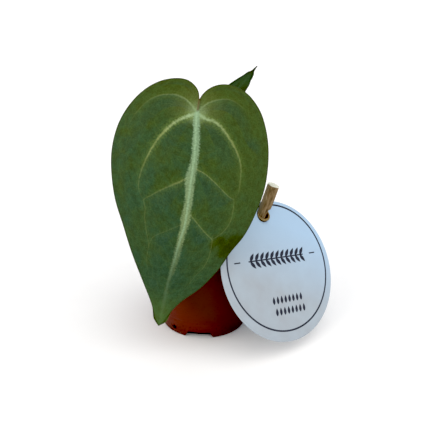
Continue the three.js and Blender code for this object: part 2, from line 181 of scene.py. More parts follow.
# Each blade with its petiole. The small one is the large one scaled, and mirrored. A bulge is the lobe it is
# on, how far it stands out, and its middle and spread as shares of the way to the tip.
LARGE_LEAF = SimpleNamespace(
    joint=(-1.9, -25, 109.9), toward_tip=(-0.182, 0, -0.983), facing=(0, -1, 0),
    lean_deg=24, bend_deg=36, length=95, arch_radius=72, ripple=0.7, ripple_length=46,
    across_scale=1, along_scale=1, vein_scale=1, side_points=170, rings=90,
    quilting=1, tip_curl=0, tip_pinch=0, tip_lean=0,
    bulges=[(-1, 0.5, 0.955, 0.035), (1, 0.7, 0.955, 0.035)],
    petiole_radius=1.6, arrival=(-0.05, -0.84, 0.54),
    petiole_route=[(0.9, 1.3, 40), (0.9, 2.5, 56), (1.6, 3.4, 76), (0.9, -3, 95), (-0.8, -12.5, 103.5)],
)
SMALL_LEAF = SimpleNamespace(
    joint=(-2.4, 14, 78.2), toward_tip=(0.47, 0.6, 0.65), facing=(-0.3, -0.5, 0.81),
    lean_deg=16, bend_deg=38, length=58, arch_radius=28, ripple=0.4, ripple_length=27,
    across_scale=-0.38, along_scale=0.6, vein_scale=0.5, side_points=120, rings=70,
    quilting=0.4, tip_curl=1.4, tip_pinch=0.45, tip_lean=0.9,
    bulges=[(-1, 1.6, 0.7, 0.15), (-1, 0.4, 0.91, 0.05), (1, -2.6, 0.66, 0.11), (1, 0.6, 0.88, 0.06)],
    petiole_radius=1.2, arrival=(-0.3, -0.05, 0.95),
    petiole_route=[(2.2, 6, 40), (2.4, 8.2, 52), (1.4, 12, 64)],
)

# Veins as (across, along)
MIDRIB = [
    (0, -1.5), (0.1, 2), (0.5, 5), (1.3, 11), (1.9, 17), (2.2, 26), (2.6, 35), (2.9, 46), (2.1, 53),
    (1.2, 63), (0.3, 73), (0, 86), (-0.2, 96),
]
# The band's half widths to the left and the right of the midrib, as (along, left, right)
MIDRIB_BAND = [
    (-1.5, 0.5, 0.5), (0.5, 1.15, 1.2), (4, 1.3, 1.5), (12, 1.3, 1.7), (20, 1.35, 1.75), (26.5, 2.6, 1.6),
    (32.5, 1.8, 1.7), (37, 1.5, 1.75), (40.5, 1.9, 1.5), (44, 2.2, 2), (48, 1.4, 1.5), (52, 1.3, 1.5),
    (56, 1, 1.6), (60, 0.9, 1.8), (68, 0.8, 1.6), (73, 0.6, 0.8), (82, 1.1, 1.1), (98, 0.5, 0.5),
]
MIDRIB_PALENESS = [
    (0, 1), (40, 0.93), (52, 0.82), (60, 0.5), (68, 0.28), (74, 0.17), (80, 0.13), (98, 0.04),
]
# Each side vein: its line, its half width at its start and end, and how pale it is there
SIDE_VEINS = [
    ([(0, 0), (-3.7, 2), (-7.8, 4.8), (-11.2, 8.7), (-14.1, 13.5), (-16.5, 19.5), (-18.2, 26),
      (-18.7, 32.8), (-17.7, 36), (-15.8, 38.6)], 1.05, 0.2, 1.22, 0.02),
    ([(-15.8, 38.6), (-14.4, 42.2), (-13.9, 46.5), (-12.5, 51.5), (-10.3, 57.8)], 0.26, 0.24, 0.15, 0.1),
    ([(0, 0), (3.6, 1.6), (7.4, 2.1), (11, 4.1), (14.8, 7.7), (18.3, 11.9), (20.8, 16.1), (22, 20.1),
      (22.4, 24.4), (22.6, 29.1), (21.3, 32.7)], 1.1, 0.2, 1.06, 0.05),
    ([(21.3, 32.7), (21.7, 37.1), (21.4, 42.5), (18.9, 47.7), (15.3, 51)], 0.26, 0.24, 0.2, 0.16),
    ([(0, 0), (-2, -2.1), (-4.9, -4.5), (-8.8, -5.9), (-12.8, -5.7), (-16.7, -4.6), (-20.4, -2),
      (-23.4, 2), (-25.9, 7.1), (-27.2, 12.4)], 0.6, 0.2, 0.5, 0),
    ([(0, 0), (1.7, -2.4), (4.1, -5.1), (7.5, -6.9), (11.5, -8), (15.4, -7.3), (19.3, -4.8),
      (22.7, -0.5), (25.3, 4.9)], 0.55, 0.2, 0.42, -0.1),
    ([(0.9, 26.5), (-1.3, 28.1), (-5.8, 31), (-10.6, 34.5), (-13.9, 37.3), (-15.8, 38.6)],
     0.7, 0.2, 0.45, 0.14),
    ([(2.4, 21.5), (3.9, 22.5), (7, 23.6), (11.2, 26.1), (15.5, 29.2), (19, 31.7), (21.3, 32.7)],
     0.34, 0.25, 0.45, 0.22),
    ([(4.4, 41.6), (6, 43), (9.3, 46.1), (12.3, 48.8), (15.3, 51)], 0.3, 0.25, 0.4, 0.26),
    ([(15.3, 51), (15.6, 55.4), (15.2, 60.1), (13.9, 64.6), (11.5, 68.3), (8, 76), (4.5, 84)],
     0.28, 0.2, 0.2, 0),
    ([(2.5, 45.4), (-0.5, 47.6), (-5, 50.7), (-9.2, 53.9), (-10.3, 57.8)], 0.28, 0.24, 0.13, 0.08),
    ([(-10.3, 57.8), (-10.4, 64), (-8.2, 72), (-4.6, 82)], 0.25, 0.2, 0.1, 0),
]

# Petioles
PETIOLE_FOOT_SWELL = 0.5
PETIOLE_FOOT_REACH = 9
PETIOLE_JOINT_SWELL = 0.55
PETIOLE_JOINT_REACH = 4.5
PETIOLE_EDGES = 0.08
PETIOLE_BUMPS = 5
PETIOLE_BUMP = 0.012
PETIOLE_BUMP_RATES = (0.12, 0.3)
PETIOLE_END_TAPER = 0.35
PETIOLE_END_REACH = 3.5
PETIOLE_TIP_IN_RIB = 3
# How long it runs straight before it reaches the blade
PETIOLE_STRAIGHT = 5
# Its very end inside the rib: how far past the joint, and how far under the blade's face
PETIOLE_END_PLACE = (1.2, 1.3)
PETIOLE_SEED = 13
MIDRIB_RADIUS = 1.5
MIDRIB_TIP_RADIUS = 0.45
MIDRIB_COVER = 0.3
MIDRIB_SHARE = 0.93
MIDRIB_STARTS = (-3.2, 0.5)

# Tag and its print
TAG_RADIUS = 32.4
TAG_THICKNESS = 0.6
TAG_EDGE_ROUND = 0.07
TAG_HOLE_RADIUS = 3.5
TAG_HOLE_UP = 26.3
TAG_CENTRE = np.array([34.2, -16.5, 34.1])
TAG_FACING = np.array([0.57, -0.65, 0.51])
TAG_UP = np.array([-0.27, 0.44, 0.86])
INK_FILM = 0.03
PRINT_TURN_DEG = -6
PRINT_RING_CENTRE = (0.4, 1.4)
PRINT_RING_RADIUS = 29.1
PRINT_RING_WIDTH = 0.75
# Straight strokes of ink as (left end, right end, height on the card, width)
PRINT_BARS = [(-24.6, -21.2, 5.7, 0.55), (20.6, 24.0, 5.7, 0.55), (-16.5, 16.5, 5.6, 0.6)]
SPRIG_LEAVES = 11
SPRIG_START = -15.5
SPRIG_SPACING = 3
# The leaves on the sprig's two sides, as (height on the card, lean in degrees)
SPRIG_SIDES = [(5.7, 52), (5.5, -52)]
SPRIG_LEAF_SIZE = (4.3, 1.7)
LEAF_ROW_HEIGHTS = [-15.2, -20.4]
LEAF_ROW_MIDDLE = 1.6
LEAF_ROW_SHIFT = 0.6
LEAF_ROW_COUNT = 8
LEAF_ROW_SPACING = 2.35
LEAF_ROW_SIZE = (3.6, 1.5)
LEAF_ROW_LEAN = 84

# Stick and the raffia round it
STICK_RADIUS = 2.1
STICK_FLAT = 0.95
STICK_ABOVE_HOLE = 15.5
STICK_SHOULDER_ABOVE_HOLE = 4.1
STICK_SHOULDER = 0.9
STICK_LENGTH = 62
STICK_POINT = 7
STICK_POINT_SHARE = 0.2
STICK_DIRECTION = np.array([0.36, 0, 0.933])
STICK_BOW = 0.9
STICK_SWELL = 0.32
STICK_BARK = 0.75
STICK_GROOVE = 0.16
STICK_FLAT_GROOVE = 0.08
STICK_RAGGED_END = 0.25
STICK_END_ROUND = 0.6
STICK_END_SHARE = 0.93
STICK_SWELL_FADES = 9
# How far below the shoulder the bark begins to thin out, and ends
BARK_THINS = 5
BARK_ENDS = 11
# How far round the stick, from the middle of its flat side, the middle of its bark lies
BARK_MIDDLE = math.pi * STICK_RADIUS
RAFFIA_RIDGES = 0.12
RAFFIA_WOBBLE = 0.05
# How much of the stick's slant the turns behind the card follow
RAFFIA_DRIFT = 0.8
# The turn in front is thicker, and nearer the hole's middle, at its bottom. Its first end tapers.
RAFFIA_FRONT_SWELL = 0.25
RAFFIA_FRONT_RISE = 0.35
RAFFIA_FRONT_TAPER = 1.5
# Turns of raffia as (radius of the turn, of the strand, height over the card's back, first and last angle)
RAFFIA_IN_FRONT = (3.05, 0.36, 0.7, 150, 385)
RAFFIA_BEHIND = [
    (2.75, 0.45, 0.25, 70, 425), (2.2, 0.5, -0.2, 70, 425), (1.6, 0.5, -0.7, 70, 425),
    (2.9, 0.45, -0.75, 70, 425),
]

# Floor and camera. The photograph's frame is square, and the focal length is in its pixels.
FLOOR_REACH = 6000
FLOOR_DROP = 0.05
FRAME_PIXELS = 430
FOCAL_PIXELS = 700
SENSOR_WIDTH = 36
CAMERA_PLACE = (5.35, -301.5, 182.5)
CAMERA_PITCH_DEG = 23
BLACK_LEVEL = 0.04

# Colours of the blades' upper faces, painted light among them, and where on them the dark patch, the tip and
# the margin begin
LARGE_GREENS = SimpleNamespace(
    plain="#3b4f37", olive="#444f25", painted_lit_side="#43512e", painted_skylight="#364a3a", tip="#4a5e36", halo="#637640",
    vein="#91a67f", yellow="#8c9158", rib_top="#7f997a", rib_low="#7a8b64", rib_core="#97b38f",
    margin="#363a20", seam="#5c4a36", dark_patch="#353b17", dark_patch_place=(23.3, 54.3, 0), rim=0.6,
    tip_starts=76, tip_full=93,
)
SMALL_GREENS = SimpleNamespace(
    plain="#324429", olive="#3b4928", painted_lit_side="#35462a", painted_skylight="#32452d", tip="#30280f", halo="#435733",
    vein="#4a5e3b", yellow="#5d6238", rib_top="#708763", rib_low="#43573a", rib_core="#4a5e40",
    margin="#25321b", seam="#5c4a36", dark_patch="#333c20", dark_patch_place=(-6, 40, 0), rim=1.3,
    tip_starts=52.5, tip_full=56,
)
# Setting of a range node whose ends are soft
SMOOTH = {"interpolation_type": "SMOOTHSTEP"}


def unit(vector):
    """A vector's direction, at length 1."""
    vector = np.asarray(vector, float)
    return vector / np.linalg.norm(vector)


def smoothstep(low, high, value):
    """Rises softly from 0 at low to 1 at high. It falls where low is the larger."""
    share = np.clip((value - low) / (high - low), 0, 1)
    return share * share * (3 - 2 * share)


def bell(value, width):
    """1 at zero, and fading out on both sides over about the width."""
    return np.exp(-((value / width) ** 2))


def around(count):
    """So many angles, evenly spaced round a circle."""
    return np.linspace(0, 2 * math.pi, count, endpoint=False)


def travelled_along(line):
    """The distance travelled along a line at each of its points."""
    return np.concatenate([[0], np.cumsum(np.linalg.norm(np.diff(line, axis=0), axis=1))])


def spline(points, count):
    """So many points, evenly spaced, along a centripetal Catmull-Rom curve through the given points."""
    points = np.asarray(points, float)
    knots = np.vstack([2 * points[0] - points[1], points, 2 * points[-1] - points[-2]])
    share = np.linspace(0, 1, 24, endpoint=False)[:, None]
    fine = []
    for a, b, c, d in zip(knots, knots[1:], knots[2:], knots[3:]):
        before, here, after = (math.sqrt(np.linalg.norm(v)) for v in (b - a, c - b, d - c))
        leave = ((b - a) / before - (c - a) / (before + here) + (c - b) / here) * here
        arrive = ((c - b) / here - (d - b) / (here + after) + (d - c) / after) * here
        bend = 3 * (c - b) - 2 * leave - arrive
        twist = 2 * (b - c) + leave + arrive
        fine.append(b + leave * share + bend * share ** 2 + twist * share ** 3)
    fine = np.vstack([*fine, points[-1:]])
    travelled = travelled_along(fine)
    even = np.linspace(0, travelled[-1], count)
    return np.column_stack([np.interp(even, travelled, column) for column in fine.T])


def grid_faces(rows, columns, wraps):
    """The quads of a grid stored row by row. A grid that wraps joins its last column to its first."""
    j, i = np.meshgrid(np.arange(rows - 1), np.arange(columns if wraps else columns - 1), indexing="ij")
    here, beside = j * columns + i, j * columns + (i + 1) % columns
    quads = np.stack([here, beside, beside + columns, here + columns], axis=-1)
    return quads.reshape(-1, 4).tolist()


def shifted(faces, offset):
    """The same faces on points that are stored so much further on."""
    return [[index + offset for index in face] for face in faces]


def side_faces(loop, offset):
    """The faces between a closed loop of points and the loop that is stored so much further on."""
    return [[a, b, b + offset, a + offset] for a, b in zip(loop, loop[1:] + loop[:1])]


def joined(parts):
    """One list of points and one of faces from several."""
    faces = []
    count = 0
    for points, part_faces in parts:
        faces += shifted(part_faces, count)
        count += len(points)
    return np.vstack([points for points, _ in parts]), faces


def loft(rings):
    """A closed form through rings of points, with flat ends."""
    rows, columns = len(rings), len(rings[0])
    faces = grid_faces(rows, columns, True)
    faces.append(list(range(columns)))
    faces.append(list(range((rows - 1) * columns, rows * columns)))
    return np.vstack(rings), faces


def line_frames(line):
    """Two directions across a line at each of its points, which turn as little as they can."""
    along = np.gradient(line, axis=0)
    along /= np.linalg.norm(along, axis=1)[:, None]
    side = unit(np.cross(along[0], (0, 1, 0.2)))
    sides = []
    for direction in along:
        side = unit(side - direction * (side @ direction))
        sides.append(side)
    sides = np.array(sides)
    return sides, np.cross(along, sides)


def tube(line, sides, radius_at):
    """A closed tube, and for each of its points the angle round it, the distance travelled and the line's
    length. radius_at takes the distance travelled and the angle."""
    side, other = line_frames(line)
    travelled = travelled_along(line)
    angle = around(sides)
    rings = []
    for k, centre in enumerate(line):
        radius = radius_at(travelled[k], angle)[:, None]
        rings.append(centre + radius * (np.cos(angle)[:, None] * side[k] + np.sin(angle)[:, None] * other[k]))
    places = np.array([(a, t, travelled[-1]) for t in travelled for a in angle])
    return (*loft(rings), places)


def face_outward(shape, mesh):
    """Turns a closed form's faces outward and writes it to a mesh."""
    bmesh.ops.recalc_face_normals(shape, faces=shape.faces)
    shape.to_mesh(mesh)
    shape.free()


def place_in_scene(name, data):
    """A new object at the origin that shows some data."""
    made = bpy.data.objects.new(name, data)
    bpy.context.scene.collection.objects.link(made)
    return made


def make_piece(name, points, faces, materials, slot, stands_for=(), attributes=None, face_material=None,
               sharp_deg=None):
    """A mesh piece on the root body, with its faces pointing out and smooth up to sharp_deg."""
    mesh = bpy.data.meshes.new(name)
    mesh.from_pydata((np.asarray(points) * MM).tolist(), [], faces)
    for key, values in (attributes or {}).items():
        attribute = mesh.attributes.new(key, "FLOAT_VECTOR", "POINT")
        attribute.data.foreach_set("vector", np.asarray(values, np.float32).ravel())
    if face_material is not None:
        mesh.polygons.foreach_set("material_index", np.asarray(face_material, np.int32))
    shape = bmesh.new()
    shape.from_mesh(mesh)
    face_outward(shape, mesh)
    mesh.shade_smooth()
    if sharp_deg is not None:
        mesh.set_sharp_from_angle(angle=math.radians(sharp_deg))
    for material in materials:
        mesh.materials.append(material)
    piece = place_in_scene(name, mesh)
    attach(piece, "root")
    if stands_for:
        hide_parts(*stands_for)
    return piece


def colour(code):
    """An sRGB hex colour as the linear one, with its alpha, that a shader takes."""
    channels = [int(code[i:i + 2], 16) / 255 for i in (1, 3, 5)]
    return (*(c / 12.92 if c <= 0.04045 else ((c + 0.055) / 1.055) ** 2.4 for c in channels), 1)


def add(tree, kind, inputs=None, stops=None, **settings):
    """Adds a shader node with its settings, its inputs' values or links and its ramp's stops. A hex code
    among its inputs is a colour. Gives its first output."""
    node = tree.nodes.new("ShaderNode" + kind)
    for name, value in settings.items():
        setattr(node, name, value)
    for key, value in (inputs or {}).items():
        named = [socket for socket in node.inputs if socket.enabled and socket.name == key]
        socket = named[0] if named else node.inputs[key]
        if isinstance(value, bpy.types.NodeSocket):
            tree.links.new(value, socket)
        else:
            socket.default_value = colour(value) if isinstance(value, str) else value
    for k, (place, code) in enumerate(stops or []):
        ramp = node.color_ramp.elements
        element = ramp[k] if k < len(ramp) else ramp.new(place)
        element.position = place
        element.color = colour(code)
    return next(socket for socket in node.outputs if socket.enabled)


def new_material(name, finish):
    """A material, its tree and its shader, whose own values are set by their names."""
    material = bpy.data.materials.new(name)
    material.use_nodes = True
    tree = material.node_tree
    shader = tree.nodes["Principled BSDF"]
    for key, value in finish.items():
        shader.inputs[key].default_value = value
    return material, tree, shader


def dress(tree, shader, base, height=None, depth=0.05, roughness=None):
    """Links a colour, a relief so many millimetres deep, and a roughness to the shader."""
    tree.links.new(base, shader.inputs["Base Color"])
    if height is not None:
        normal = add(tree, "Bump", {"Height": height, "Distance": depth * MM, "Strength": 1})
        tree.links.new(normal, shader.inputs["Normal"])
    if roughness is not None:
        tree.links.new(roughness, shader.inputs["Roughness"])


def millimetres(tree):
    """The place in the model's frame, in millimetres."""
    place = add(tree, "TexCoord").node.outputs["Object"]
    return add(tree, "VectorMath", {0: place, "Scale": 1 / MM}, operation="SCALE")


def stored(tree, name):
    """The vector that a mesh stores at each point under a name, and its three numbers."""
    vector = add(tree, "Attribute", attribute_name=name).node.outputs["Vector"]
    return (vector, *add(tree, "SeparateXYZ", {0: vector}).node.outputs)


def from_axis(tree, place):
    """A place without its third number, and how far it then is from zero."""
    flat = add(tree, "VectorMath", {0: place, 1: (1, 1, 0)}, operation="MULTIPLY")
    return flat, add(tree, "VectorMath", {0: flat}, operation="LENGTH").node.outputs["Value"]


def streaked(tree, place, stretch, detail, roughness=0.5):
    """Noise that is drawn out along one direction. stretch says how many times it varies per millimetre."""
    stretched = add(tree, "VectorMath", {0: place, 1: stretch}, operation="MULTIPLY")
    return add(tree, "TexNoise", {"Vector": stretched, "Scale": 1, "Detail": detail, "Roughness": roughness})


def product(tree, first, *others):
    """Several shares multiplied."""
    for other in others:
        first = add(tree, "Math", {0: first, 1: other}, operation="MULTIPLY")
    return first


def layered(tree, base, *layers):
    """A colour with others laid over it in turn, each as its share and its colour."""
    for share, over in layers:
        base = add(tree, "Mix", {"Factor": share, "A": base, "B": over}, data_type="RGBA")
    return base


def blade_place(tree):
    """Where on the blade a place is: across and along it, how far in from the margin and from the joint."""
    place, across, along, margin = stored(tree, "place")
    flat, from_joint = from_axis(tree, place)
    return SimpleNamespace(place=place, flat=flat, across=across, along=along, margin=margin,
                           from_joint=from_joint)


def vein_masks(tree, place):
    """How much of a place is midrib and side vein, from the distances stored in the blade's mesh. Both fray
    into the green in short feathers."""
    rib, travelled, rib_side, band = stored(tree, "rib")
    feathers = streaked(tree, rib, (1.5, 1.15, 0), 5, 0.7)
    rib_away = add(tree, "Math", {0: rib_side}, operation="ABSOLUTE")
    rib_edge = add(tree, "Math", {0: rib_away, 1: band}, operation="SUBTRACT")
    rib_frayed = add(tree, "Math", {0: feathers, 1: 2.8, 2: rib_edge}, operation="MULTIPLY_ADD")
    rib_mask = add(tree, "MapRange", {"Value": rib_frayed, "From Min": 1.85, "From Max": 0.75}, **SMOOTH)

    _, vein_side, distance, paleness = stored(tree, "vein")
    fray = add(tree, "TexNoise", {"Vector": place, "Scale": 1.1, "Detail": 4, "Roughness": 0.65})
    vein_away = add(tree, "Math", {0: vein_side}, operation="ABSOLUTE")
    vein_frayed = add(tree, "Math", {0: fray, 1: 2.4, 2: vein_away}, operation="MULTIPLY_ADD")
    vein_line = add(tree, "MapRange", {"Value": vein_frayed, "From Min": 2.5, "From Max": 1.1}, **SMOOTH)
    near = add(tree, "MapRange", {"Value": distance, "From Min": 1.9, "From Max": 1.2})
    return SimpleNamespace(
        rib=rib_mask, rib_away=rib_away, travelled=travelled, feathers=feathers,
        vein=product(tree, vein_line, near), distance=distance, paleness=paleness, fray=fray,
    )


def vein_layers(tree, spot, veins, greens, rib_paleness):
    """The veins' layers of colour: a halo along the side veins, then the side veins, which fade and brighten
    along their way, then the midrib with its bright core."""
    fuzz = add(tree, "Math", {0: veins.fray, 1: 7, 2: veins.distance}, operation="MULTIPLY_ADD")
    halo = add(tree, "MapRange", {"Value": fuzz, "From Min": 6.2, "From Max": 3}, **SMOOTH)
    worn = add(tree, "TexNoise", {"Vector": spot.place, "Scale": 0.2, "Detail": 1})
    bright = add(tree, "MapRange", {"Value": worn, "From Min": 0.36, "From Max": 0.6, "To Min": 0.72})
    yellowed = add(tree, "MapRange", {"Value": spot.from_joint, "From Min": 3, "From Max": 17, "To Max": 0.8})
    vein_colour = layered(tree, greens.vein, (yellowed, greens.yellow))
    core = add(tree, "MapRange", {"Value": veins.rib_away, "From Min": 0.75, "From Max": 0.1}, **SMOOTH)
    pale = add(tree, "MapRange", {"Value": veins.travelled, "From Min": 6, "From Max": 45})
    rib_colour = layered(tree, greens.rib_top, (pale, greens.rib_low),
                         (product(tree, core, 0.6), greens.rib_core))
    speck = add(tree, "MapRange", {"Value": veins.feathers, "From Min": 0.4, "From Max": 0.65, "To Min": 1,
                                   "To Max": 0.55})
    return [
        (product(tree, halo, veins.paleness, 0.8), greens.halo),
        (product(tree, veins.vein, veins.paleness, bright), vein_colour),
        (product(tree, veins.rib, rib_paleness, speck), rib_colour),
    ]


def living_green(tree, spot, greens, upward, patches):
    """The blade's green as it goes from place to place: olive in patches and toward the lobes, lighter and
    warmer on one side as painted light, bluer as a painted reflection of the sky where the quilting faces up
    and on the lower blade, darker in one patch, and with its own tone at the tip."""
    patch = add(tree, "MapRange", {"Value": patches, "From Min": 0.4, "From Max": 0.66, "To Max": 0.6})
    high = add(tree, "MapRange", {"Value": spot.along, "From Min": 16, "From Max": -9, "To Max": 0.75})
    olive = add(tree, "Math", {0: patch, 1: high}, operation="MAXIMUM")
    # Painted light: lighter and warmer toward one side, as if lit from there
    painted_lit_side = add(tree, "MapRange", {"Value": spot.across, "From Min": 4, "From Max": 22, "To Max": 0.85})
    # Painted reflection of the sky: bluer where the quilting faces up, and on the lower blade
    lower = add(tree, "MapRange", {"Value": spot.along, "From Min": 20, "From Max": 75, "To Max": 0.55})
    painted_skylight = add(tree, "Math", {0: upward, 1: 0.7, 2: lower}, operation="MULTIPLY_ADD", use_clamp=True)
    # A darker olive patch round a given place, with a ragged edge
    from_dark_patch = add(tree, "VectorMath", {0: spot.flat, 1: greens.dark_patch_place}, operation="DISTANCE")
    spread = add(tree, "Math", {0: patches, 1: 16, 2: from_dark_patch.node.outputs["Value"]},
                 operation="MULTIPLY_ADD")
    dark_patch_share = add(tree, "MapRange", {"Value": spread, "From Min": 16.5, "From Max": 11, "To Max": 0.9},
                **SMOOTH)
    tip = add(tree, "MapRange", {"Value": spot.along, "From Min": greens.tip_starts,
                                 "From Max": greens.tip_full, "To Max": 0.8})
    return layered(tree, greens.plain, (olive, greens.olive), (painted_lit_side, greens.painted_lit_side), (painted_skylight, greens.painted_skylight),
                   (dark_patch_share, greens.dark_patch), (tip, greens.tip))


def velvet_blade(name, greens):
    """The upper face of the blade: living leaf, velvety from cone-shaped cells too small to see. They trap
    light, so the face is matt and deep and hardly mirrors, with a faint cold bloom at a slant. Its green also
    has painted light on one side and a painted reflection of the sky. The velvet's own grain is about 0.05 mm
    and is drawn at about 0.6 mm, so that it shows."""
    material, tree, shader = new_material(name, {
        "Roughness": 0.6, "IOR": 1.45, "Specular IOR Level": 0.2, "Sheen Weight": 0.06,
        "Sheen Roughness": 0.4, "Sheen Tint": colour("#c9dccb"),
    })
    spot = blade_place(tree)
    _, rib_paleness, upward, sinus = stored(tree, "tone")

    # Green, with painted light and a painted reflection of the sky, and a fine mottle and grain
    patches = add(tree, "TexNoise", {"Vector": spot.place, "Scale": 0.11, "Detail": 3})
    base = living_green(tree, spot, greens, upward, patches)
    mottle = add(tree, "TexNoise", {"Vector": spot.place, "Scale": 0.42, "Detail": 5, "Roughness": 0.6})
    grain = add(tree, "TexNoise", {"Vector": spot.place, "Scale": 1.6, "Detail": 3, "Roughness": 0.7})
    mixed = add(tree, "Math", {0: grain, 1: 0.9, 2: mottle}, operation="MULTIPLY_ADD")
    value = add(tree, "MapRange", {"Value": mixed, "From Min": 0.72, "From Max": 1.18, "To Min": 0.8,
                                   "To Max": 1.2})
    hue = add(tree, "MapRange", {"Value": mottle, "From Min": 0.35, "From Max": 0.65, "To Min": 0.488,
                                 "To Max": 0.512})
    base = add(tree, "HueSaturation", {"Color": base, "Value": value, "Hue": hue})

    # Net of the finest veins, about 6 mm from one to the next
    bent = add(tree, "VectorMath", {0: mottle, "Scale": 5}, operation="SCALE")
    netted = add(tree, "VectorMath", {0: spot.place, 1: bent}, operation="ADD")
    cells = add(tree, "TexVoronoi", {"Vector": netted, "Scale": 0.17}, feature="DISTANCE_TO_EDGE")
    net = add(tree, "MapRange", {"Value": cells, "From Min": 0.05, "From Max": 0, "To Max": 0.1})

    # Pale at the joint, where the veins meet, and yellowish behind it
    glow = add(tree, "MapRange", {"Value": spot.from_joint, "From Min": 15, "From Max": 1.5,
                                  "To Max": 0.38}, **SMOOTH)
    behind = add(tree, "MapRange", {"Value": spot.along, "From Min": 7, "From Max": 1})
    hub = add(tree, "MapRange", {"Value": spot.from_joint, "From Min": 6, "From Max": 0.5,
                                 "To Max": 0.85}, **SMOOTH)

    rim = add(tree, "MapRange", {"Value": spot.margin, "From Min": greens.rim, "From Max": 0.1,
                                 "To Max": 0.75}, **SMOOTH)
    base = layered(
        tree, base,
        (net, greens.halo),
        (product(tree, glow, grain, behind), greens.yellow),
        (product(tree, hub, grain), greens.vein),
        *vein_layers(tree, spot, vein_masks(tree, spot.place), greens, rib_paleness),
        (rim, greens.margin),
        (sinus, greens.seam),
    )
    relief = add(tree, "Math", {0: net, 1: -0.6, 2: grain}, operation="MULTIPLY_ADD")
    dress(tree, shader, base, relief, 0.08)
    return material


def leaf_underside():
    """The blade's underside: living leaf, smooth, so it is paler and a little glossier than the velvet."""
    material, tree, shader = new_material("leaf_underside", {
        "Roughness": 0.48, "IOR": 1.45, "Specular IOR Level": 0.4,
    })
    place = add(tree, "Attribute", attribute_name="place").node.outputs["Vector"]
    veins = vein_masks(tree, place)
    mottle = add(tree, "TexNoise", {"Vector": place, "Scale": 0.5, "Detail": 4})
    green = add(tree, "ValToRGB", {"Fac": mottle}, stops=[(0.3, "#53693a"), (0.7, "#687f4b")])
    cells = add(tree, "TexVoronoi", {"Vector": place, "Scale": 0.3}, feature="DISTANCE_TO_EDGE")
    net = add(tree, "MapRange", {"Value": cells, "From Min": 0.07, "From Max": 0, "To Max": 0.4})
    veined = add(tree, "Math", {0: veins.vein, 1: veins.rib}, operation="MAXIMUM")
    base = layered(tree, green, (net, "#7c9160"), (product(tree, veined, 0.8), "#94a673"))
    relief = add(tree, "Math", {0: net, 1: 2, 2: mottle}, operation="MULTIPLY_ADD")
    dress(tree, shader, base, relief, 0.12)
    return material


def petiole_skin():
    """Leaf stalk: living stem with a thin waxy skin, so satin. It is streaked along its length, brown at its
    foot and yellowish at the swollen joint under the blade."""
    material, tree, shader = new_material("petiole_waxy_skin", {
        "Roughness": 0.42, "IOR": 1.45, "Specular IOR Level": 0.5,
    })
    _, _, travelled, length = stored(tree, "stalk")
    streaks = streaked(tree, millimetres(tree), (2.4, 2.4, 0.35), 4)
    green = add(tree, "ValToRGB", {"Fac": streaks},
                stops=[(0.3, "#4a5f2a"), (0.55, "#64793a"), (0.75, "#7b8c4c")])
    foot = add(tree, "MapRange", {"Value": travelled, "From Min": 22, "From Max": 6, "To Max": 0.8})
    left = add(tree, "Math", {0: length, 1: travelled}, operation="SUBTRACT")
    joint = add(tree, "MapRange", {"Value": left, "From Min": 17, "From Max": 9, "To Max": 0.75})
    base = layered(tree, green, (foot, "#6d5332"), (joint, "#8a9556"))
    dress(tree, shader, base, streaks, 0.12)
    return material


def dried_stem(name, dark, light, stretch, depth):
    """Dry plant tissue, shrunk as it dried: dull, and ridged along its length."""
    material, tree, shader = new_material(name, {"Roughness": 0.82, "IOR": 1.45, "Specular IOR Level": 0.3})
    fibres = streaked(tree, millimetres(tree), stretch, 5, 0.65)
    base = add(tree, "ValToRGB", {"Fac": fibres}, stops=[(0.3, dark), (0.7, light)])
    dress(tree, shader, base, fibres, depth)
    return material


def moulded_polypropylene():
    """Nursery pot: thin polypropylene, injection moulded in a brick brown. Its skin is between matt and
    satin. It has faint flow clouding, fine scuffs and specks of soil round its foot. Painted light makes it
    lighter low on one side, and painted shade makes it nearly black near its axis: its underside, its floor
    and the ends of the notches."""
    material, tree, shader = new_material("pot_moulded_polypropylene", {
        "Roughness": 0.5, "IOR": 1.49, "Specular IOR Level": 0.25,
    })
    place = millimetres(tree)
    across, _, height = add(tree, "SeparateXYZ", {0: place}).node.outputs
    clouds = add(tree, "TexNoise", {"Vector": place, "Scale": 0.06, "Detail": 3})
    brown = add(tree, "ValToRGB", {"Fac": clouds}, stops=[(0.3, "#4c2a22"), (0.7, "#543026")])
    # Painted light: lighter low on one side, where light falls on it
    aslant = add(tree, "Math", {0: height, 1: 0.9, 2: across}, operation="MULTIPLY_ADD")
    painted_lit_left = add(tree, "MapRange", {"Value": aslant, "From Min": 15, "From Max": 0})
    # Painted shade: nearly black within 19.2 mm of the axis, in the ends of the notches, on the floor and
    # under the pot
    _, outward = from_axis(tree, place)
    painted_shade = add(tree, "MapRange", {"Value": outward, "From Min": 19.6, "From Max": 19.2, "To Max": 0.95})
    specks = add(tree, "TexNoise", {"Vector": place, "Scale": 1.1, "Detail": 5, "Roughness": 0.7})
    low = add(tree, "MapRange", {"Value": height, "From Min": 9, "From Max": 1})
    dusty = add(tree, "Math", {0: low, 1: 0.18, 2: specks}, operation="MULTIPLY_ADD")
    dust = add(tree, "MapRange", {"Value": dusty, "From Min": 0.58, "From Max": 0.74, "To Max": 0.6})
    base = layered(tree, brown, (painted_lit_left, "#602d22"), (painted_shade, "#170d08"), (dust, "#33190f"))
    scuffs = streaked(tree, place, (0.5, 0.5, 4), 3)
    roughness = add(tree, "MapRange", {"Value": scuffs, "From Min": 0.35, "From Max": 0.7, "To Min": 0.44,
                                       "To Max": 0.58})
    dress(tree, shader, base, specks, 0.02, roughness)
    return material


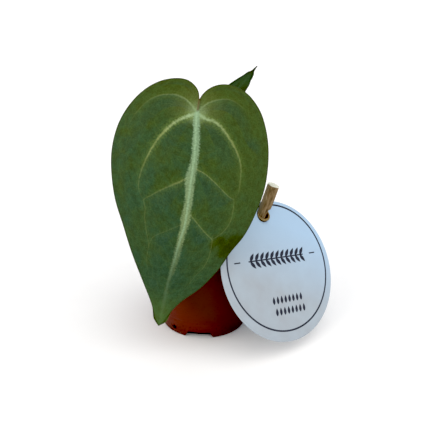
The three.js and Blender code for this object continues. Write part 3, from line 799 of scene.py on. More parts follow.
def crumb_material(name, stops, scale, roughness, depth):
    """Loose matter of the mix, broken small: bark, peat, coir or perlite. Its tone varies as many times per
    millimetre as the scale says. Low in the pot it is painted nearly black, as painted shade where the mix
    is seen through the foot's notches."""
    material, tree, shader = new_material(name, {
        "Roughness": roughness, "IOR": 1.45, "Specular IOR Level": 0.25,
    })
    place = millimetres(tree)
    grain = add(tree, "TexNoise", {"Vector": place, "Scale": scale, "Detail": 6, "Roughness": 0.7})
    dry = add(tree, "ValToRGB", {"Fac": grain}, stops=stops)
    height = add(tree, "SeparateXYZ", {0: place}).node.outputs[2]
    painted_shade_low = add(tree, "MapRange", {"Value": height, "From Min": PAINTED_SHADE_GONE_ABOVE, "From Max": PAINTED_SHADE_FULL_BELOW,
                                 "To Max": 0.92})
    dress(tree, shader, layered(tree, dry, (painted_shade_low, "#120b07")), grain, depth)
    return material


def coated_card():
    """Tag: white card with a matt coating, die-cut. It is nearly even, with a faint cloudiness of the pulp.
    Its tone goes from neutral at its lower left to bluish at its upper right: painted light, as of open sky
    on its upper part."""
    material, tree, shader = new_material("tag_coated_card", {
        "Roughness": 0.62, "IOR": 1.5, "Specular IOR Level": 0.4,
    })
    card, across, up, _ = stored(tree, "card")
    pulp = add(tree, "TexNoise", {"Vector": card, "Scale": 0.1, "Detail": 4})
    white = add(tree, "ValToRGB", {"Fac": pulp}, stops=[(0.3, "#989fa6"), (0.7, "#9da8b1")])
    # Painted light: bluer toward the upper right, as of sky light falling there
    high = add(tree, "Math", {0: across, 1: 0.6, 2: up}, operation="MULTIPLY_ADD")
    painted_skylight = add(tree, "MapRange", {"Value": high, "From Min": -12, "From Max": 26})
    fibre = add(tree, "TexNoise", {"Vector": card, "Scale": 3, "Detail": 3})
    dress(tree, shader, layered(tree, white, (painted_skylight, "#9fb8cf")), fibre, 0.015)
    return material


def printing_ink():
    """Printed ink on the card: navy black, flat, with the coating's slight gloss, and a little uneven."""
    material, tree, shader = new_material("tag_offset_ink", {"Roughness": 0.5, "IOR": 1.5})
    grain = add(tree, "TexNoise", {"Vector": millimetres(tree), "Scale": 1.5, "Detail": 3})
    dress(tree, shader, add(tree, "ValToRGB", {"Fac": grain}, stops=[(0.3, "#14161f"), (0.7, "#23273a")]))
    return material


def whittled_wood():
    """Stick: raw softwood, split and whittled. Taupe brown with darker streaks along its grain, a strip of
    grey bark left on one side, and a cut end that is paler than the sides."""
    material, tree, shader = new_material("stick_whittled_softwood", {
        "Roughness": 0.78, "IOR": 1.5, "Specular IOR Level": 0.3,
    })
    wood, round_it, _, cut = stored(tree, "wood")
    streaks = streaked(tree, wood, (1.5, 0.22, 0), 5, 0.62)
    brown = add(tree, "ValToRGB", {"Fac": streaks},
                stops=[(0.32, "#4a3b29"), (0.46, "#766349"), (0.6, "#8b785b"), (0.75, "#a69980")])
    beside = add(tree, "Math", {0: round_it, 1: BARK_MIDDLE}, operation="SUBTRACT")
    from_bark = add(tree, "Math", {0: beside}, operation="ABSOLUTE")
    ragged = add(tree, "Math", {0: streaks, 1: 3, 2: from_bark}, operation="MULTIPLY_ADD")
    bark = add(tree, "MapRange", {"Value": ragged, "From Min": 3.5, "From Max": 2.1, "To Max": 0.65})
    pores = add(tree, "TexNoise", {"Vector": millimetres(tree), "Scale": 3, "Detail": 3})
    end = add(tree, "ValToRGB", {"Fac": pores}, stops=[(0.35, "#b5b39c"), (0.6, "#eceee4")])
    dress(tree, shader, layered(tree, brown, (bark, "#8f8672"), (cut, end)), streaks, 0.2)
    return material


def studio_floor():
    """Floor: matt white board. Its faint fibre tone keeps it from being one flat colour."""
    material, tree, shader = new_material("floor_white_board", {"Roughness": 0.9, "Specular IOR Level": 0.1})
    fibre = add(tree, "TexNoise", {"Vector": millimetres(tree), "Scale": 0.02, "Detail": 3})
    dress(tree, shader, add(tree, "ValToRGB", {"Fac": fibre}, stops=[(0.3, "#f6f6f6"), (0.7, "#f9f9f9")]))
    return material


def blade_axes(leaf):
    """The directions from the joint toward the tip, out of the upper face, and across the blade."""
    toward = unit(leaf.toward_tip)
    facing = np.array(leaf.facing)
    face = unit(facing - toward * (facing @ toward))
    return toward, face, np.cross(face, toward)


def blade_surface(leaf, across, along, lift):
    """Points of the blade, raised from its smooth upper face by lift."""
    toward, face, sideways = blade_axes(leaf)
    lean = math.radians(leaf.lean_deg)
    curvature = math.radians(leaf.bend_deg) / leaf.length
    tilt = lean - curvature * along
    outward = np.abs(across / (HALF_WIDTH * leaf.across_scale))
    wave = np.sin(2 * math.pi * along / leaf.ripple_length + 2 * np.sign(across))
    height = leaf.ripple * outward ** 2 * wave - across ** 2 / (2 * leaf.arch_radius) + lift
    normal = np.cos(tilt)[..., None] * face - np.sin(tilt)[..., None] * toward
    return (
        np.array(leaf.joint)
        + ((math.sin(lean) - np.sin(tilt)) / curvature)[..., None] * toward
        + ((np.cos(tilt) - math.cos(lean)) / curvature)[..., None] * face
        + across[..., None] * sideways
        + height[..., None] * normal
    )


def nearest_on(line, across, along):
    """For each place: its distance from a line, the share of the line travelled, and its signed side."""
    starts, steps = line[:-1], np.diff(line, axis=0)
    reach = travelled_along(line)
    place = np.column_stack([across, along])
    away = place[:, None, :] - starts[None]
    share = np.clip((away * steps).sum(2) / (steps ** 2).sum(1), 0, 1)
    gap = away - share[..., None] * steps
    distance = np.sqrt((gap ** 2).sum(2))
    best = distance.argmin(1)
    row = np.arange(len(place))
    step = steps[best]
    side = np.sign(step[:, 0] * away[row, best, 1] - step[:, 1] * away[row, best, 0])
    travelled = reach[best] + share[row, best] * np.linalg.norm(step, axis=1)
    return distance[row, best], travelled / reach[-1], np.where(side == 0, 1, side)


def blade_fields(leaf, across, along, rim):
    """What the veins and the margin give each place of a blade: relief, and numbers for its material."""
    scale = np.array([leaf.across_scale, leaf.along_scale])
    wide = leaf.vein_scale
    ribbed, rib_share, rib_side = nearest_on(spline(np.array(MIDRIB) * scale, 60), across, along)
    rib_travelled = rib_share * (MIDRIB[-1][1] - MIDRIB[0][1]) + MIDRIB[0][1]
    stops, left_band, right_band = zip(*MIDRIB_BAND)
    on_left = rib_side * np.sign(leaf.across_scale) > 0
    band = np.where(on_left, np.interp(rib_travelled, stops, left_band),
                    np.interp(rib_travelled, stops, right_band)) * wide
    nearest = np.full(len(across), math.inf)
    vein_side, paleness = np.ones(len(across)), np.zeros(len(across))
    for points, start_width, end_width, start_pale, end_pale in SIDE_VEINS:
        distance, share, side = nearest_on(spline(np.array(points) * scale, 40), across, along)
        width = (start_width + (end_width - start_width) * share ** 0.7) * wide
        closer = distance < nearest
        nearest = np.where(closer, distance, nearest)
        vein_side = np.where(closer, side * distance / width, vein_side)
        paleness = np.where(closer, start_pale + (end_pale - start_pale) * share ** 0.75, paleness)
    margin, _, _ = nearest_on(rim, across, along)

    def along_vein(form, distance):
        """The height of a furrow or ridge at some distance from its vein."""
        height, half_width = form
        return height * wide * bell(distance, half_width * wide)

    open_place = np.minimum(np.minimum(nearest, ribbed), margin * 1.4)
    swell = leaf.quilting * (1 - bell(open_place, QUILT_REACH * wide))
    swell = swell * smoothstep(0, QUILT_FADES * wide, margin)
    furrow = along_vein(FURROW, nearest) * smoothstep(0, FURROW_FULL, paleness)
    trough = along_vein(TROUGH, ribbed)
    ridge = along_vein(RIDGE, ribbed) * smoothstep(RIDGE_ENDS, RIDGE_FADES, rib_travelled)
    return SimpleNamespace(
        relief=swell - furrow - trough + ridge, margin=margin,
        below=along_vein(VEIN_BELOW, nearest) * smoothstep(0, VEIN_BELOW_FULL, paleness),
        rib=np.column_stack([rib_travelled, rib_side * ribbed / wide, band / wide]),
        vein=np.column_stack([vein_side, nearest / wide, paleness]),
        rib_paleness=np.interp(rib_travelled, *zip(*MIDRIB_PALENESS)),
    )


def blade_plan(leaf):
    """The blade laid flat: places on rays from the joint to its rim, row by row, then the rim, and -1 or 1
    for each ray's lobe."""
    scale = np.array([leaf.across_scale, leaf.along_scale])
    left = spline(np.array(LEFT_EDGE) * scale, leaf.side_points)
    right = spline(np.array(RIGHT_EDGE) * scale, leaf.side_points)
    rim = np.vstack([left, right[::-1][1:]])
    lobe = np.sign(np.arange(len(rim)) - (leaf.side_points - 1) - 0.5)
    reach = np.linalg.norm(rim, axis=1)
    band = np.minimum(RIM_BAND, 0.2 * reach)
    inner = np.linspace(0, 1, leaf.rings + 1)[1:, None] * (1 - band / reach)
    share = np.vstack([inner, 1 - RIM_RINGS[:, None] * (band / reach)])
    across, along = share * rim[:, 0], share * rim[:, 1]
    out = along / rim[:, 1].max()
    outward = np.clip(rim[:, 0], -1, 1)
    for side, amount, place, spread in leaf.bulges:
        across = across + amount * bell(out - place, spread) * share * outward * (lobe == side)
    if leaf.tip_pinch:
        narrow = smoothstep(0.92, 0.95, out)
        across = across * (1 - leaf.tip_pinch * narrow) - leaf.tip_lean * narrow * out ** 20
    return across, along, rim, lobe


def blade_faces(rows, columns):
    """The faces of a blade's two grids, closed by a middle point each and by sides along the rim, and 0 or 1
    for each face's material."""
    size = rows * columns
    middle = 2 * size
    last = size - columns
    grid = grid_faces(rows, columns, False)
    upper = grid + [[middle, i, i + 1] for i in range(columns - 1)]
    lower = shifted(grid, size) + [[middle + 1, size + i, size + i + 1] for i in range(columns - 1)]
    border = (
        [middle] + [j * columns for j in range(rows)] + [last + i for i in range(1, columns)]
        + [j * columns + columns - 1 for j in range(rows - 2, -1, -1)] + [middle]
    )
    below = [index + 1 if index == middle else index + size for index in border]
    sides = [[a, b, d, c] for a, b, c, d in zip(border, border[1:], below, below[1:])]
    return upper + lower + sides, [0] * len(upper) + [1] * len(lower) + [0] * len(sides)


def build_blade(name, leaf, upper, under, slot, node):
    """A blade: its two faces, closed at the margin. The midrib stands out below, and the two lobes overlap a
    little behind the joint."""
    across, along, rim, lobe = blade_plan(leaf)
    rows, columns = across.shape
    across, along = across.ravel(), along.ravel()
    lobes = np.tile(lobe, rows)
    fields = blade_fields(leaf, across, along, rim)
    # How much the quilting faces up the blade, which the material turns into a painted reflection of the sky
    ahead = blade_fields(leaf, across, along + SLOPE_STEP, rim)
    upward = (ahead.relief - fields.relief) / SLOPE_STEP * SLOPE_GAIN

    length = rim[:, 1].max()
    past = -along / leaf.along_scale
    lap = smoothstep(*LAP_GROWS, past) * bell(across, LAP_WIDTH * leaf.across_scale)
    lift = fields.relief - lobes * LAP_HEIGHT * lap
    thin = BLADE_THICKNESS * leaf.along_scale ** 0.5
    past_round = (1 - fields.margin / RIM_ROUND).clip(0, 1)
    thickness = thin * np.sqrt(np.clip(1 - past_round ** 2, RIM_THINNEST, 1))
    rib_radius = MIDRIB_RADIUS + (MIDRIB_TIP_RADIUS - MIDRIB_RADIUS) * np.sqrt(
        np.clip(along / (MIDRIB_SHARE * length), 0, 1))
    rib_shape = np.sqrt(np.clip(1 - (across / rib_radius) ** 2, 0, 1))
    rib_start = smoothstep(*MIDRIB_STARTS, along / leaf.along_scale)
    rib_depth = (MIDRIB_COVER + 2 * rib_radius - thin) * rib_shape * rib_start
    curl = leaf.tip_curl * smoothstep(0.9, 1, along / length) ** 1.5
    across = across - lobes * leaf.across_scale * LAP_REACH * lap * smoothstep(*LAP_REACH_GROWS, past)
    top = lift - (thin - thickness) / 2 + curl
    bottom = lift - (thin + thickness) / 2 - np.maximum(rib_depth, fields.below) + curl
    middle = np.array([0, -thin]) + 0.05
    points = np.vstack([
        blade_surface(leaf, across, along, top), blade_surface(leaf, across, along, bottom),
        blade_surface(leaf, np.zeros(2), np.zeros(2), middle),
    ])

    seam = bell(across, SEAM_WIDTH * leaf.across_scale) * smoothstep(*SEAM_GROWS, past)
    on_grid = {
        "place": np.column_stack([across, along, fields.margin]), "rib": fields.rib, "vein": fields.vein,
        "tone": np.column_stack([fields.rib_paleness, np.clip(upward, 0, 1), seam * 0.75]),
    }
    at_middle = {"place": (0, 0, 9), "rib": (0, 0, 1.2), "vein": (0, 0, 1), "tone": (1, 0, 0)}
    attributes = {key: np.vstack([values, values, [at_middle[key]] * 2]) for key, values in on_grid.items()}
    faces, material_of = blade_faces(rows, columns)
    make_piece(name, points, faces, [upper, under], slot, (node,), attributes, material_of, sharp_deg=75)


def petiole_line(leaf):
    """The petiole's middle line, from inside the crown to inside the rib behind the blade."""
    arrival = unit(leaf.arrival)
    lean = math.radians(leaf.lean_deg)
    toward, face, _ = blade_axes(leaf)
    normal = face * math.cos(lean) - toward * math.sin(lean)
    tilt = math.sqrt(1 - (arrival @ normal) ** 2)
    reach = MIDRIB_COVER + 2 * MIDRIB_RADIUS + CLEARANCE + leaf.petiole_radius * tilt
    end = blade_surface(leaf, np.zeros(1), np.zeros(1), np.array([-reach]))[0]
    past, under = PETIOLE_END_PLACE
    inside = blade_surface(leaf, np.zeros(1), np.full(1, past * leaf.along_scale), np.array([-under]))[0]
    return spline([*leaf.petiole_route, end - PETIOLE_STRAIGHT * arrival, end, inside], 130)


def build_petiole(name, leaf, material, node):
    """A petiole: bluntly four-edged, uneven, and swollen at its foot and below the blade."""
    line = petiole_line(leaf)
    length = travelled_along(line)[-1]
    wobble = random.Random(PETIOLE_SEED)
    bumps = [(wobble.uniform(0, 2 * math.pi), wobble.uniform(*PETIOLE_BUMP_RATES))
             for _ in range(PETIOLE_BUMPS)]

    def radius_at(travelled, angle):
        from_blade = length - travelled - PETIOLE_TIP_IN_RIB
        foot = PETIOLE_FOOT_SWELL * math.exp(-travelled / PETIOLE_FOOT_REACH)
        joint = PETIOLE_JOINT_SWELL * bell(from_blade / PETIOLE_JOINT_REACH - 1, 1)
        uneven = sum(PETIOLE_BUMP * np.sin(rate * travelled + phase + angle) for phase, rate in bumps)
        thin = 1 - PETIOLE_END_TAPER * smoothstep(PETIOLE_END_REACH, 0, length - travelled)
        return (leaf.petiole_radius + foot + joint) * (1 + PETIOLE_EDGES * np.cos(4 * angle) + uneven) * thin

    points, faces, places = tube(line, 32, radius_at)
    make_piece(name, points, faces, [material], "petiole_tissue", (node,), {"stalk": places})


def soil_height(x, y):
    """The mix's surface over a place, as the CAD model has it but without its fade at the wall."""
    lumps = math.sin(0.62 * x + 1.3) * math.cos(0.55 * y - 0.4) + 0.6 * math.sin(1.15 * x + 0.8 * y)
    from_crown = math.hypot(x - CROWN_TOP[0], y - CROWN_TOP[1])
    return SOIL_LEVEL + SOIL_LUMP * lumps + SOIL_MOUND * bell(from_crown, SOIL_MOUND_REACH)


def outer_radius(height):
    """The pot's outside below its collar."""
    plain_top = POT_RIM_RADIUS - POT_COLLAR_STEP
    return POT_BASE_RADIUS + (plain_top - POT_BASE_RADIUS) * height / POT_HEIGHT


def inner_radius(height):
    """The pot's inside."""
    return outer_radius(height) - POT_WALL


def revolve(profile, segments):
    """Turns a closed-ended profile of (radius, height) round the pot's axis."""
    angle = around(segments)
    return loft([np.column_stack([r * np.cos(angle), r * np.sin(angle), np.full(segments, float(z))])
                 for r, z in profile])


def arc(centre_radius, centre_height, radius, start_deg, end_deg, steps=6):
    """Points of a rounded corner in a profile."""
    angles = np.radians(np.linspace(start_deg, end_deg, steps))
    return [(centre_radius + radius * math.cos(a), centre_height + radius * math.sin(a)) for a in angles]


def pot_profile():
    """The pot's section as (radius, height), from the middle of its underside up its outside, over its rim
    and down its inside."""
    base, line, round_in = POT_BASE_RADIUS, POT_LINE_HEIGHT, POT_INNER_ROUND
    step = POT_HEIGHT - POT_COLLAR_HEIGHT
    lip = POT_WALL * 0.48
    at_line, at_step = outer_radius(line), outer_radius(step)
    gate_mark = [(AXIS, 0), (1.1, 0), (1.25, 0.2), (1.9, 0.2), (2.05, 0)]
    groove = [(base * 0.62, 0), (base * 0.62 + 0.2, 0.25), (base * 0.7 - 0.2, 0.25), (base * 0.7, 0)]
    moulded_line = [
        (outer_radius(line - 0.5), line - 0.5), (at_line - POT_LINE_DEPTH, line - 0.2),
        (at_line - POT_LINE_DEPTH, line + 0.2), (outer_radius(line + 0.5), line + 0.5),
    ]
    collar_step = [
        (at_step + 0.02, step - 0.25), (at_step + 0.16, step),
        (at_step + POT_COLLAR_STEP - 0.1, step + POT_COLLAR_STEP - 0.2),
        (at_step + POT_COLLAR_STEP, step + POT_COLLAR_STEP + 0.1),
    ]
    return (
        gate_mark + groove
        + arc(base - POT_EDGE_ROUND, POT_EDGE_ROUND, POT_EDGE_ROUND, -90, -8)
        + moulded_line
        + [(outer_radius(z), z) for z in np.linspace(10, step - 1.2, 8)]
        + collar_step
        + [(outer_radius(z) + POT_COLLAR_STEP, z) for z in np.linspace(step + 1.6, POT_HEIGHT - 1, 5)]
        + arc(POT_RIM_RADIUS - lip, POT_HEIGHT - lip, lip, 0, 90)
        + arc(inner_radius(POT_HEIGHT) + lip, POT_HEIGHT - lip, lip, 90, 180)
        + [(inner_radius(z), z) for z in np.linspace(POT_HEIGHT - 2, POT_FLOOR + 1.2, 10)]
        + arc(inner_radius(POT_FLOOR) - round_in, POT_FLOOR + round_in, round_in, 0, -90, 5)
        + [(AXIS, POT_FLOOR)]
    )


def notch_shape(shape):
    """A block through the foot's wall, wider at its bottom, with its edges into the pot rounded."""
    bmesh.ops.create_cube(shape, size=1)
    for corner in shape.verts:
        width = NOTCH_WIDTH - 4 * NOTCH_SPLAY * corner.co.z
        corner.co = Vector((corner.co.x * NOTCH_REACH + POT_BASE_RADIUS, corner.co.y * width,
                            corner.co.z * NOTCH_HEIGHT * 2)) * MM
    inward = [e for e in shape.edges if abs(e.verts[0].co.x - e.verts[1].co.x) > 0.5 * MM]
    bmesh.ops.bevel(shape, geom=inward, offset=NOTCH_ROUND * MM, segments=4, profile=0.5, affect="EDGES")


def vent_shape(shape):
    """A rod through the wall just above the foot, wider than high."""
    bmesh.ops.create_cone(shape, segments=28, radius1=VENT_RADIUS * MM, radius2=VENT_RADIUS * MM,
                          depth=6 * POT_WALL * MM, cap_ends=True)
    for corner in shape.verts:
        x, y, z = corner.co
        corner.co = Vector((z + POT_BASE_RADIUS * MM, y * VENT_STRETCH, x + VENT_HEIGHT * MM))


def cutter(name, make_shape, turn_deg):
    """A solid, turned round the pot's axis, that cuts the pot and isn't shown."""
    shape = bmesh.new()
    make_shape(shape)
    bmesh.ops.rotate(shape, verts=shape.verts, matrix=Matrix.Rotation(math.radians(turn_deg), 3, "Z"))
    mesh = bpy.data.meshes.new(name)
    face_outward(shape, mesh)
    return place_in_scene(name, mesh)


def build_pot(material):
    """The pot: its section turned round its axis, and cut by its foot's notches and its two vents."""
    pot = make_piece("nursery_pot", *revolve(pot_profile(), segments=192), [material], "pot_plastic",
                     ("pot",))
    turns = [NOTCH_START_DEG + 360 * i / NOTCH_COUNT for i in range(NOTCH_COUNT)]
    cuts = [cutter(f"notch_{i}", notch_shape, turn) for i, turn in enumerate(turns)]
    cuts += [cutter(f"vent_{i}", vent_shape, turn) for i, turn in enumerate(VENT_ANGLES_DEG)]
    for cut in cuts:
        modifier = pot.modifiers.new(cut.name, "BOOLEAN")
        modifier.operation = "DIFFERENCE"
        modifier.solver = "EXACT"
        modifier.object = cut
    bpy.context.view_layer.update()
    evaluated = pot.evaluated_get(bpy.context.evaluated_depsgraph_get())
    carved = bpy.data.meshes.new_from_object(evaluated)
    pot.modifiers.clear()
    pot.data = carved
    carved.shade_smooth()
    carved.set_sharp_from_angle(angle=math.radians(38))
    for cut in cuts:
        bpy.data.objects.remove(cut)


def tag_axes():
    """The directions across the card, up it and out of its face."""
    facing = unit(TAG_FACING)
    up = unit(TAG_UP - facing * (TAG_UP @ facing))
    return np.cross(up, facing), up, facing


def on_card(across, up, out):
    """Points in the tag's own frame: across and up its face, and out from its back."""
    axes = tag_axes()
    return (TAG_CENTRE + np.asarray(across)[..., None] * axes[0] + np.asarray(up)[..., None] * axes[1]
            + np.asarray(out)[..., None] * axes[2])


def stick_frame():
    """The stick's top, its direction and the two directions across it."""
    hole = on_card(0.0, TAG_HOLE_UP, TAG_THICKNESS / 2)
    direction = unit(STICK_DIRECTION)
    across = unit(np.cross((0, 1, 0), direction))
    return hole + direction * STICK_ABOVE_HOLE, direction, across, np.cross(direction, across)


def build_potting_mix(material):
    """The mix: a closed form that follows the pot's inside, with a lumpy, gritty top."""
    bottom = POT_FLOOR + CLEARANCE
    edge = inner_radius(SOIL_LEVEL) - CLEARANCE
    wall = [(inner_radius(z) - CLEARANCE, z) for z in np.linspace(bottom, SOIL_LEVEL - 1, 14)]
    top = [(edge * math.sqrt(1 - k / SOIL_TOP_RINGS), None) for k in range(SOIL_TOP_RINGS)]
    rings = []
    for radius, height in [(AXIS, bottom), *wall, *top, (AXIS, None)]:
        ring = []
        for a in around(132):
            x, y = radius * math.cos(a), radius * math.sin(a)
            grit = noise.fractal(Vector((x, y, (height or 0) * 0.9)) * 0.7, 0.8, 2.1, 5)
            if height is None:
                inward = min(1, (edge - radius) / SOIL_EDGE)
                rise = inward * (soil_height(x, y) - SOIL_LEVEL - SOIL_SINKS)
                ring.append((x, y, SOIL_LEVEL + rise + SOIL_GRIT * grit))
            else:
                shrink = 1 - SOIL_SIDE_GRIT * (1 + grit) if height > bottom else 1
                ring.append((x * shrink, y * shrink, height))
        rings.append(np.array(ring))
    make_piece("potting_mix", *loft(rings), [material], "potting_mix", ("soil",))


def pebble(level):
    """The points and faces of a small round solid to be cut and bent."""
    shape = bmesh.new()
    bmesh.ops.create_icosphere(shape, subdivisions=level, radius=1)
    points = np.array([v.co[:] for v in shape.verts])
    faces = [[v.index for v in f.verts] for f in shape.faces]
    shape.free()
    return points, faces


def scatter(draw, count, sizes, keep_off):
    """Places on the mix, with a size each, clear of the crown, the stick and the pot's wall."""
    top, direction, _, _ = stick_frame()
    stick = (top - direction * (top[2] - SOIL_LEVEL) / direction[2])[:2]
    placed = []
    tries = 0
    while len(placed) < count and tries < count * TRIES_PER_GRAIN:
        tries += 1
        size = draw.uniform(*sizes)
        radius = (inner_radius(SOIL_LEVEL) - CLEARANCE - size * 0.6) * math.sqrt(draw.random())
        a = draw.uniform(0, 2 * math.pi)
        x, y = radius * math.cos(a), radius * math.sin(a)
        in_crown = math.hypot(x - CROWN_TOP[0], y - CROWN_TOP[1]) < GRAINS_OFF_CROWN + size * 0.55
        in_stick = math.hypot(x - stick[0], y - stick[1]) < GRAINS_OFF_STICK + size * 0.5
        crowded = any(math.hypot(x - px, y - py) < keep_off * (size + ps) for px, py, ps in placed)
        if not (in_crown or in_stick or crowded):
            placed.append((x, y, size))
    return placed


def turn_to(direction):
    """The turn that points +Z in a direction."""
    return direction.to_track_quat("Z", "Y").to_matrix()


def build_grains(name, material, draw, count, sizes, keep_off, shape, cuts, level, sunk):
    """Loose grains lying in the mix's surface: round solids that are cut by planes, squashed and leant."""
    points, faces = pebble(level)
    parts = []
    for x, y, size in scatter(draw, count, sizes, keep_off):
        grain = points.copy()
        for _ in range(cuts):
            plane = unit([draw.gauss(0, 1) for _ in range(3)])
            over = np.maximum(grain @ plane - draw.uniform(*GRAIN_CUTS), 0)
            grain = grain - over[:, None] * plane
        seed = Vector((x, y, size))
        rough = np.array([noise.noise(Vector(p) * 2.2 + seed * 3) for p in grain])
        grain = grain * (1 + GRAIN_ROUGHNESS * rough)[:, None] * np.array(shape) * size / 2
        lean = Vector((draw.gauss(0, GRAIN_LEAN), draw.gauss(0, GRAIN_LEAN), 1)).normalized()
        # Straight up, the turn is a half turn, which the second factor takes back
        turn = turn_to(lean) @ turn_to(Vector((0, 0, 1)))
        spin = draw.uniform(0, 2 * math.pi)
        c, s = math.cos(spin), math.sin(spin)
        grain = grain @ np.array([[c, s, 0], [-s, c, 0], [0, 0, 1]]) @ np.array(turn).T
        level_here = soil_height(x, y) - GRAIN_SINKS + size * shape[2] * (0.5 - sunk)
        parts.append((grain + (x, y, level_here), faces))
    make_piece(name, *joined(parts), [material], "potting_mix", sharp_deg=32)


def build_fibres(material, draw):
    """Coir fibres that curl over the mix."""
    parts = []
    limit = inner_radius(SOIL_LEVEL) - 1
    for x, y, length in scatter(draw, FIBRE_COUNT, FIBRE_LENGTHS, keep_off=0.05):
        heading = draw.uniform(0, 2 * math.pi)
        bend = draw.uniform(*FIBRE_BENDS)
        line = []
        for share in np.linspace(-0.5, 0.5, 9):
            a = heading + bend * share
            px, py = x + length * share * math.cos(a), y + length * share * math.sin(a)
            reach = math.hypot(px, py)
            if reach > limit:
                px, py = px * limit / reach, py * limit / reach
            lift = FIBRE_LIFT * math.cos(math.pi * share) * draw.random()
            line.append((px, py, soil_height(px, py) + FIBRE_OVER_MIX + lift))
        radius = draw.uniform(*FIBRE_RADII)
        parts.append(tube(spline(line, 18), 6, lambda travelled, angle: np.full(len(angle), radius))[:2])
    make_piece("coir_fibres", *joined(parts), [material], "potting_mix")


def materials_of(*groups):
    """Which material each face takes, where each group of parts takes the next one."""
    return [k for k, parts in enumerate(groups) for _, faces in parts for _ in faces]


def stub_radius(travelled, angle):
    """The stub of stem: ringed by leaf scars, knobbly and domed at its top."""
    share = min(travelled / (CROWN_TOP[2] - CROWN_BASE[2]), 1)
    scars = SCAR_HEIGHT * math.exp(-((math.sin(math.pi * travelled / SCAR_SPACING)) ** 2) * 9)
    knobs = np.array([noise.noise(Vector((math.cos(a) * 3, math.sin(a) * 3, travelled * 0.6)))
                      for a in angle])
    dome = math.sqrt(max(0.02, 1 - max(0, (travelled - STUB_LENGTH) / STUB_DOME) ** 2))
    return (CROWN_RADIUS * (0.85 + 0.15 * math.sin(math.pi * share)) + scars + KNOB_HEIGHT * knobs) * dome


def root_radius(travelled, angle):
    """A root, which thins out from the crown."""
    return np.full(len(angle), ROOT_RADIUS * (ROOT_SHARE_AT_CROWN - ROOT_TAPER * travelled))


def build_crown(stem, root, papery):
    """The stub of stem with its leaf scars, its roots in the mix, and the dry sheaths round it."""
    line = spline([CROWN_BASE, (CROWN_BASE + CROWN_TOP) / 2, CROWN_TOP, CROWN_TOP + (0, 0, 0.8)], 46)
    stub = tube(line, 56, stub_radius)[:2]
    roots = []
    last = ROOT_ROUTE[-1][0]
    for turn in np.radians(ROOT_ANGLES_DEG):
        x, y = math.cos(turn), math.sin(turn)
        route = [(CROWN_BASE[0] * (1 - r / last) + r * x, CROWN_BASE[1] * (1 - r / last) + r * y, z)
                 for r, z in ROOT_ROUTE]
        roots.append(tube(spline(route, 34), 14, root_radius)[:2])
    sheaths = [sheath(**size) for size in SHEATHS]
    make_piece("crown_with_sheaths", *joined([stub, *roots, *sheaths]), [stem, root, papery], "stem_tissue",
               ("crown",), face_material=materials_of([stub], roots, sheaths), sharp_deg=60)


def sheath(angle, spread, height, radius):
    """A papery sheath: part of a cone round the crown that narrows to a frayed point."""
    rows, columns = 40, 36
    size = rows * columns
    layers = []
    for outset in (SHEATH_THICKNESS + SHEATH_GAP, SHEATH_GAP):
        for v in np.linspace(0, 1, rows):
            width = math.radians(spread) * math.sqrt(max(0, 1 - v ** 1.6)) + 0.02
            for u in np.linspace(-1, 1, columns):
                turn = math.radians(angle) + u * width
                crease = SHEATH_CREASE * math.sin(16 * u + angle) + SHEATH_CURL * u * u * v
                fray = noise.noise(Vector((u * 9, angle, 0))) * SHEATH_FRAY * v
                reach = radius + SHEATH_FLARE * math.sin(1.8 * v) + outset + crease
                layers.append((CROWN_TOP[0] + reach * math.cos(turn), CROWN_TOP[1] + reach * math.sin(turn),
                               SHEATH_FOOT - SHEATH_BURIED + (height + SHEATH_BURIED) * v + fray))
    loop = (list(range(columns)) + [j * columns + columns - 1 for j in range(1, rows)]
            + [(rows - 1) * columns + i for i in range(columns - 2, -1, -1)]
            + [j * columns for j in range(rows - 2, 0, -1)])
    faces = grid_faces(rows, columns, False)
    return layers, faces + shifted(faces, size) + side_faces(loop, size)


def build_tag(material):
    """The card: rings that grow from the punched hole to the die-cut edge, on its two faces."""
    segments = 160
    angle = around(segments)
    share = np.concatenate([[0, 0.006], np.linspace(0.03, 0.975, 26), [0.994, 1]])
    count = len(share)
    layers, cards = [], []
    for face_side in (1, 0):
        for k, v in enumerate(share):
            radius = TAG_HOLE_RADIUS + (TAG_RADIUS - TAG_HOLE_RADIUS) * v
            across = radius * np.cos(angle)
            up = TAG_HOLE_UP * (1 - v) + radius * np.sin(angle)
            at_edge = TAG_EDGE_ROUND if k in (0, count - 1) else 0
            out = np.full(segments, TAG_THICKNESS - at_edge if face_side else at_edge)
            layers.append(on_card(across, up, out))
            cards.append(np.column_stack([across, up, out]))
    size = count * segments
    hole = list(range(segments))
    faces = grid_faces(count, segments, True)
    faces += shifted(faces, size)
    faces += side_faces(hole, size) + side_faces([size - segments + i for i in hole], size)
    make_piece("tag_card", np.vstack(layers), faces, [material], "tag_card", ("tag",),
               {"card": np.vstack(cards)}, sharp_deg=50)


def ink_shape(outline):
    """A thin closed film of ink from an outline on the card."""
    turn = math.radians(PRINT_TURN_DEG)
    outline = np.asarray(outline, float)
    across = outline[:, 0] * math.cos(turn) - outline[:, 1] * math.sin(turn)
    up = outline[:, 0] * math.sin(turn) + outline[:, 1] * math.cos(turn)
    count = len(outline)
    film = [on_card(across, up, np.full(count, TAG_THICKNESS + out)) for out in (-INK_FILM, INK_FILM)]
    loop = list(range(count))
    return np.vstack(film), [loop, list(range(count, 2 * count))] + side_faces(loop, count)


def ink_ring(centre, radius, width):
    """A closed ring of ink."""
    segments = 200
    angle = around(segments)
    inner, outer = radius - width / 2, radius + width / 2
    rings = []
    for r, out in ((inner, -INK_FILM), (outer, -INK_FILM), (outer, INK_FILM), (inner, INK_FILM)):
        rings.append(on_card(centre[0] + r * np.cos(angle), centre[1] + r * np.sin(angle),
                             np.full(segments, TAG_THICKNESS + out)))
    return np.vstack(rings + rings[:1]), grid_faces(5, segments, True)


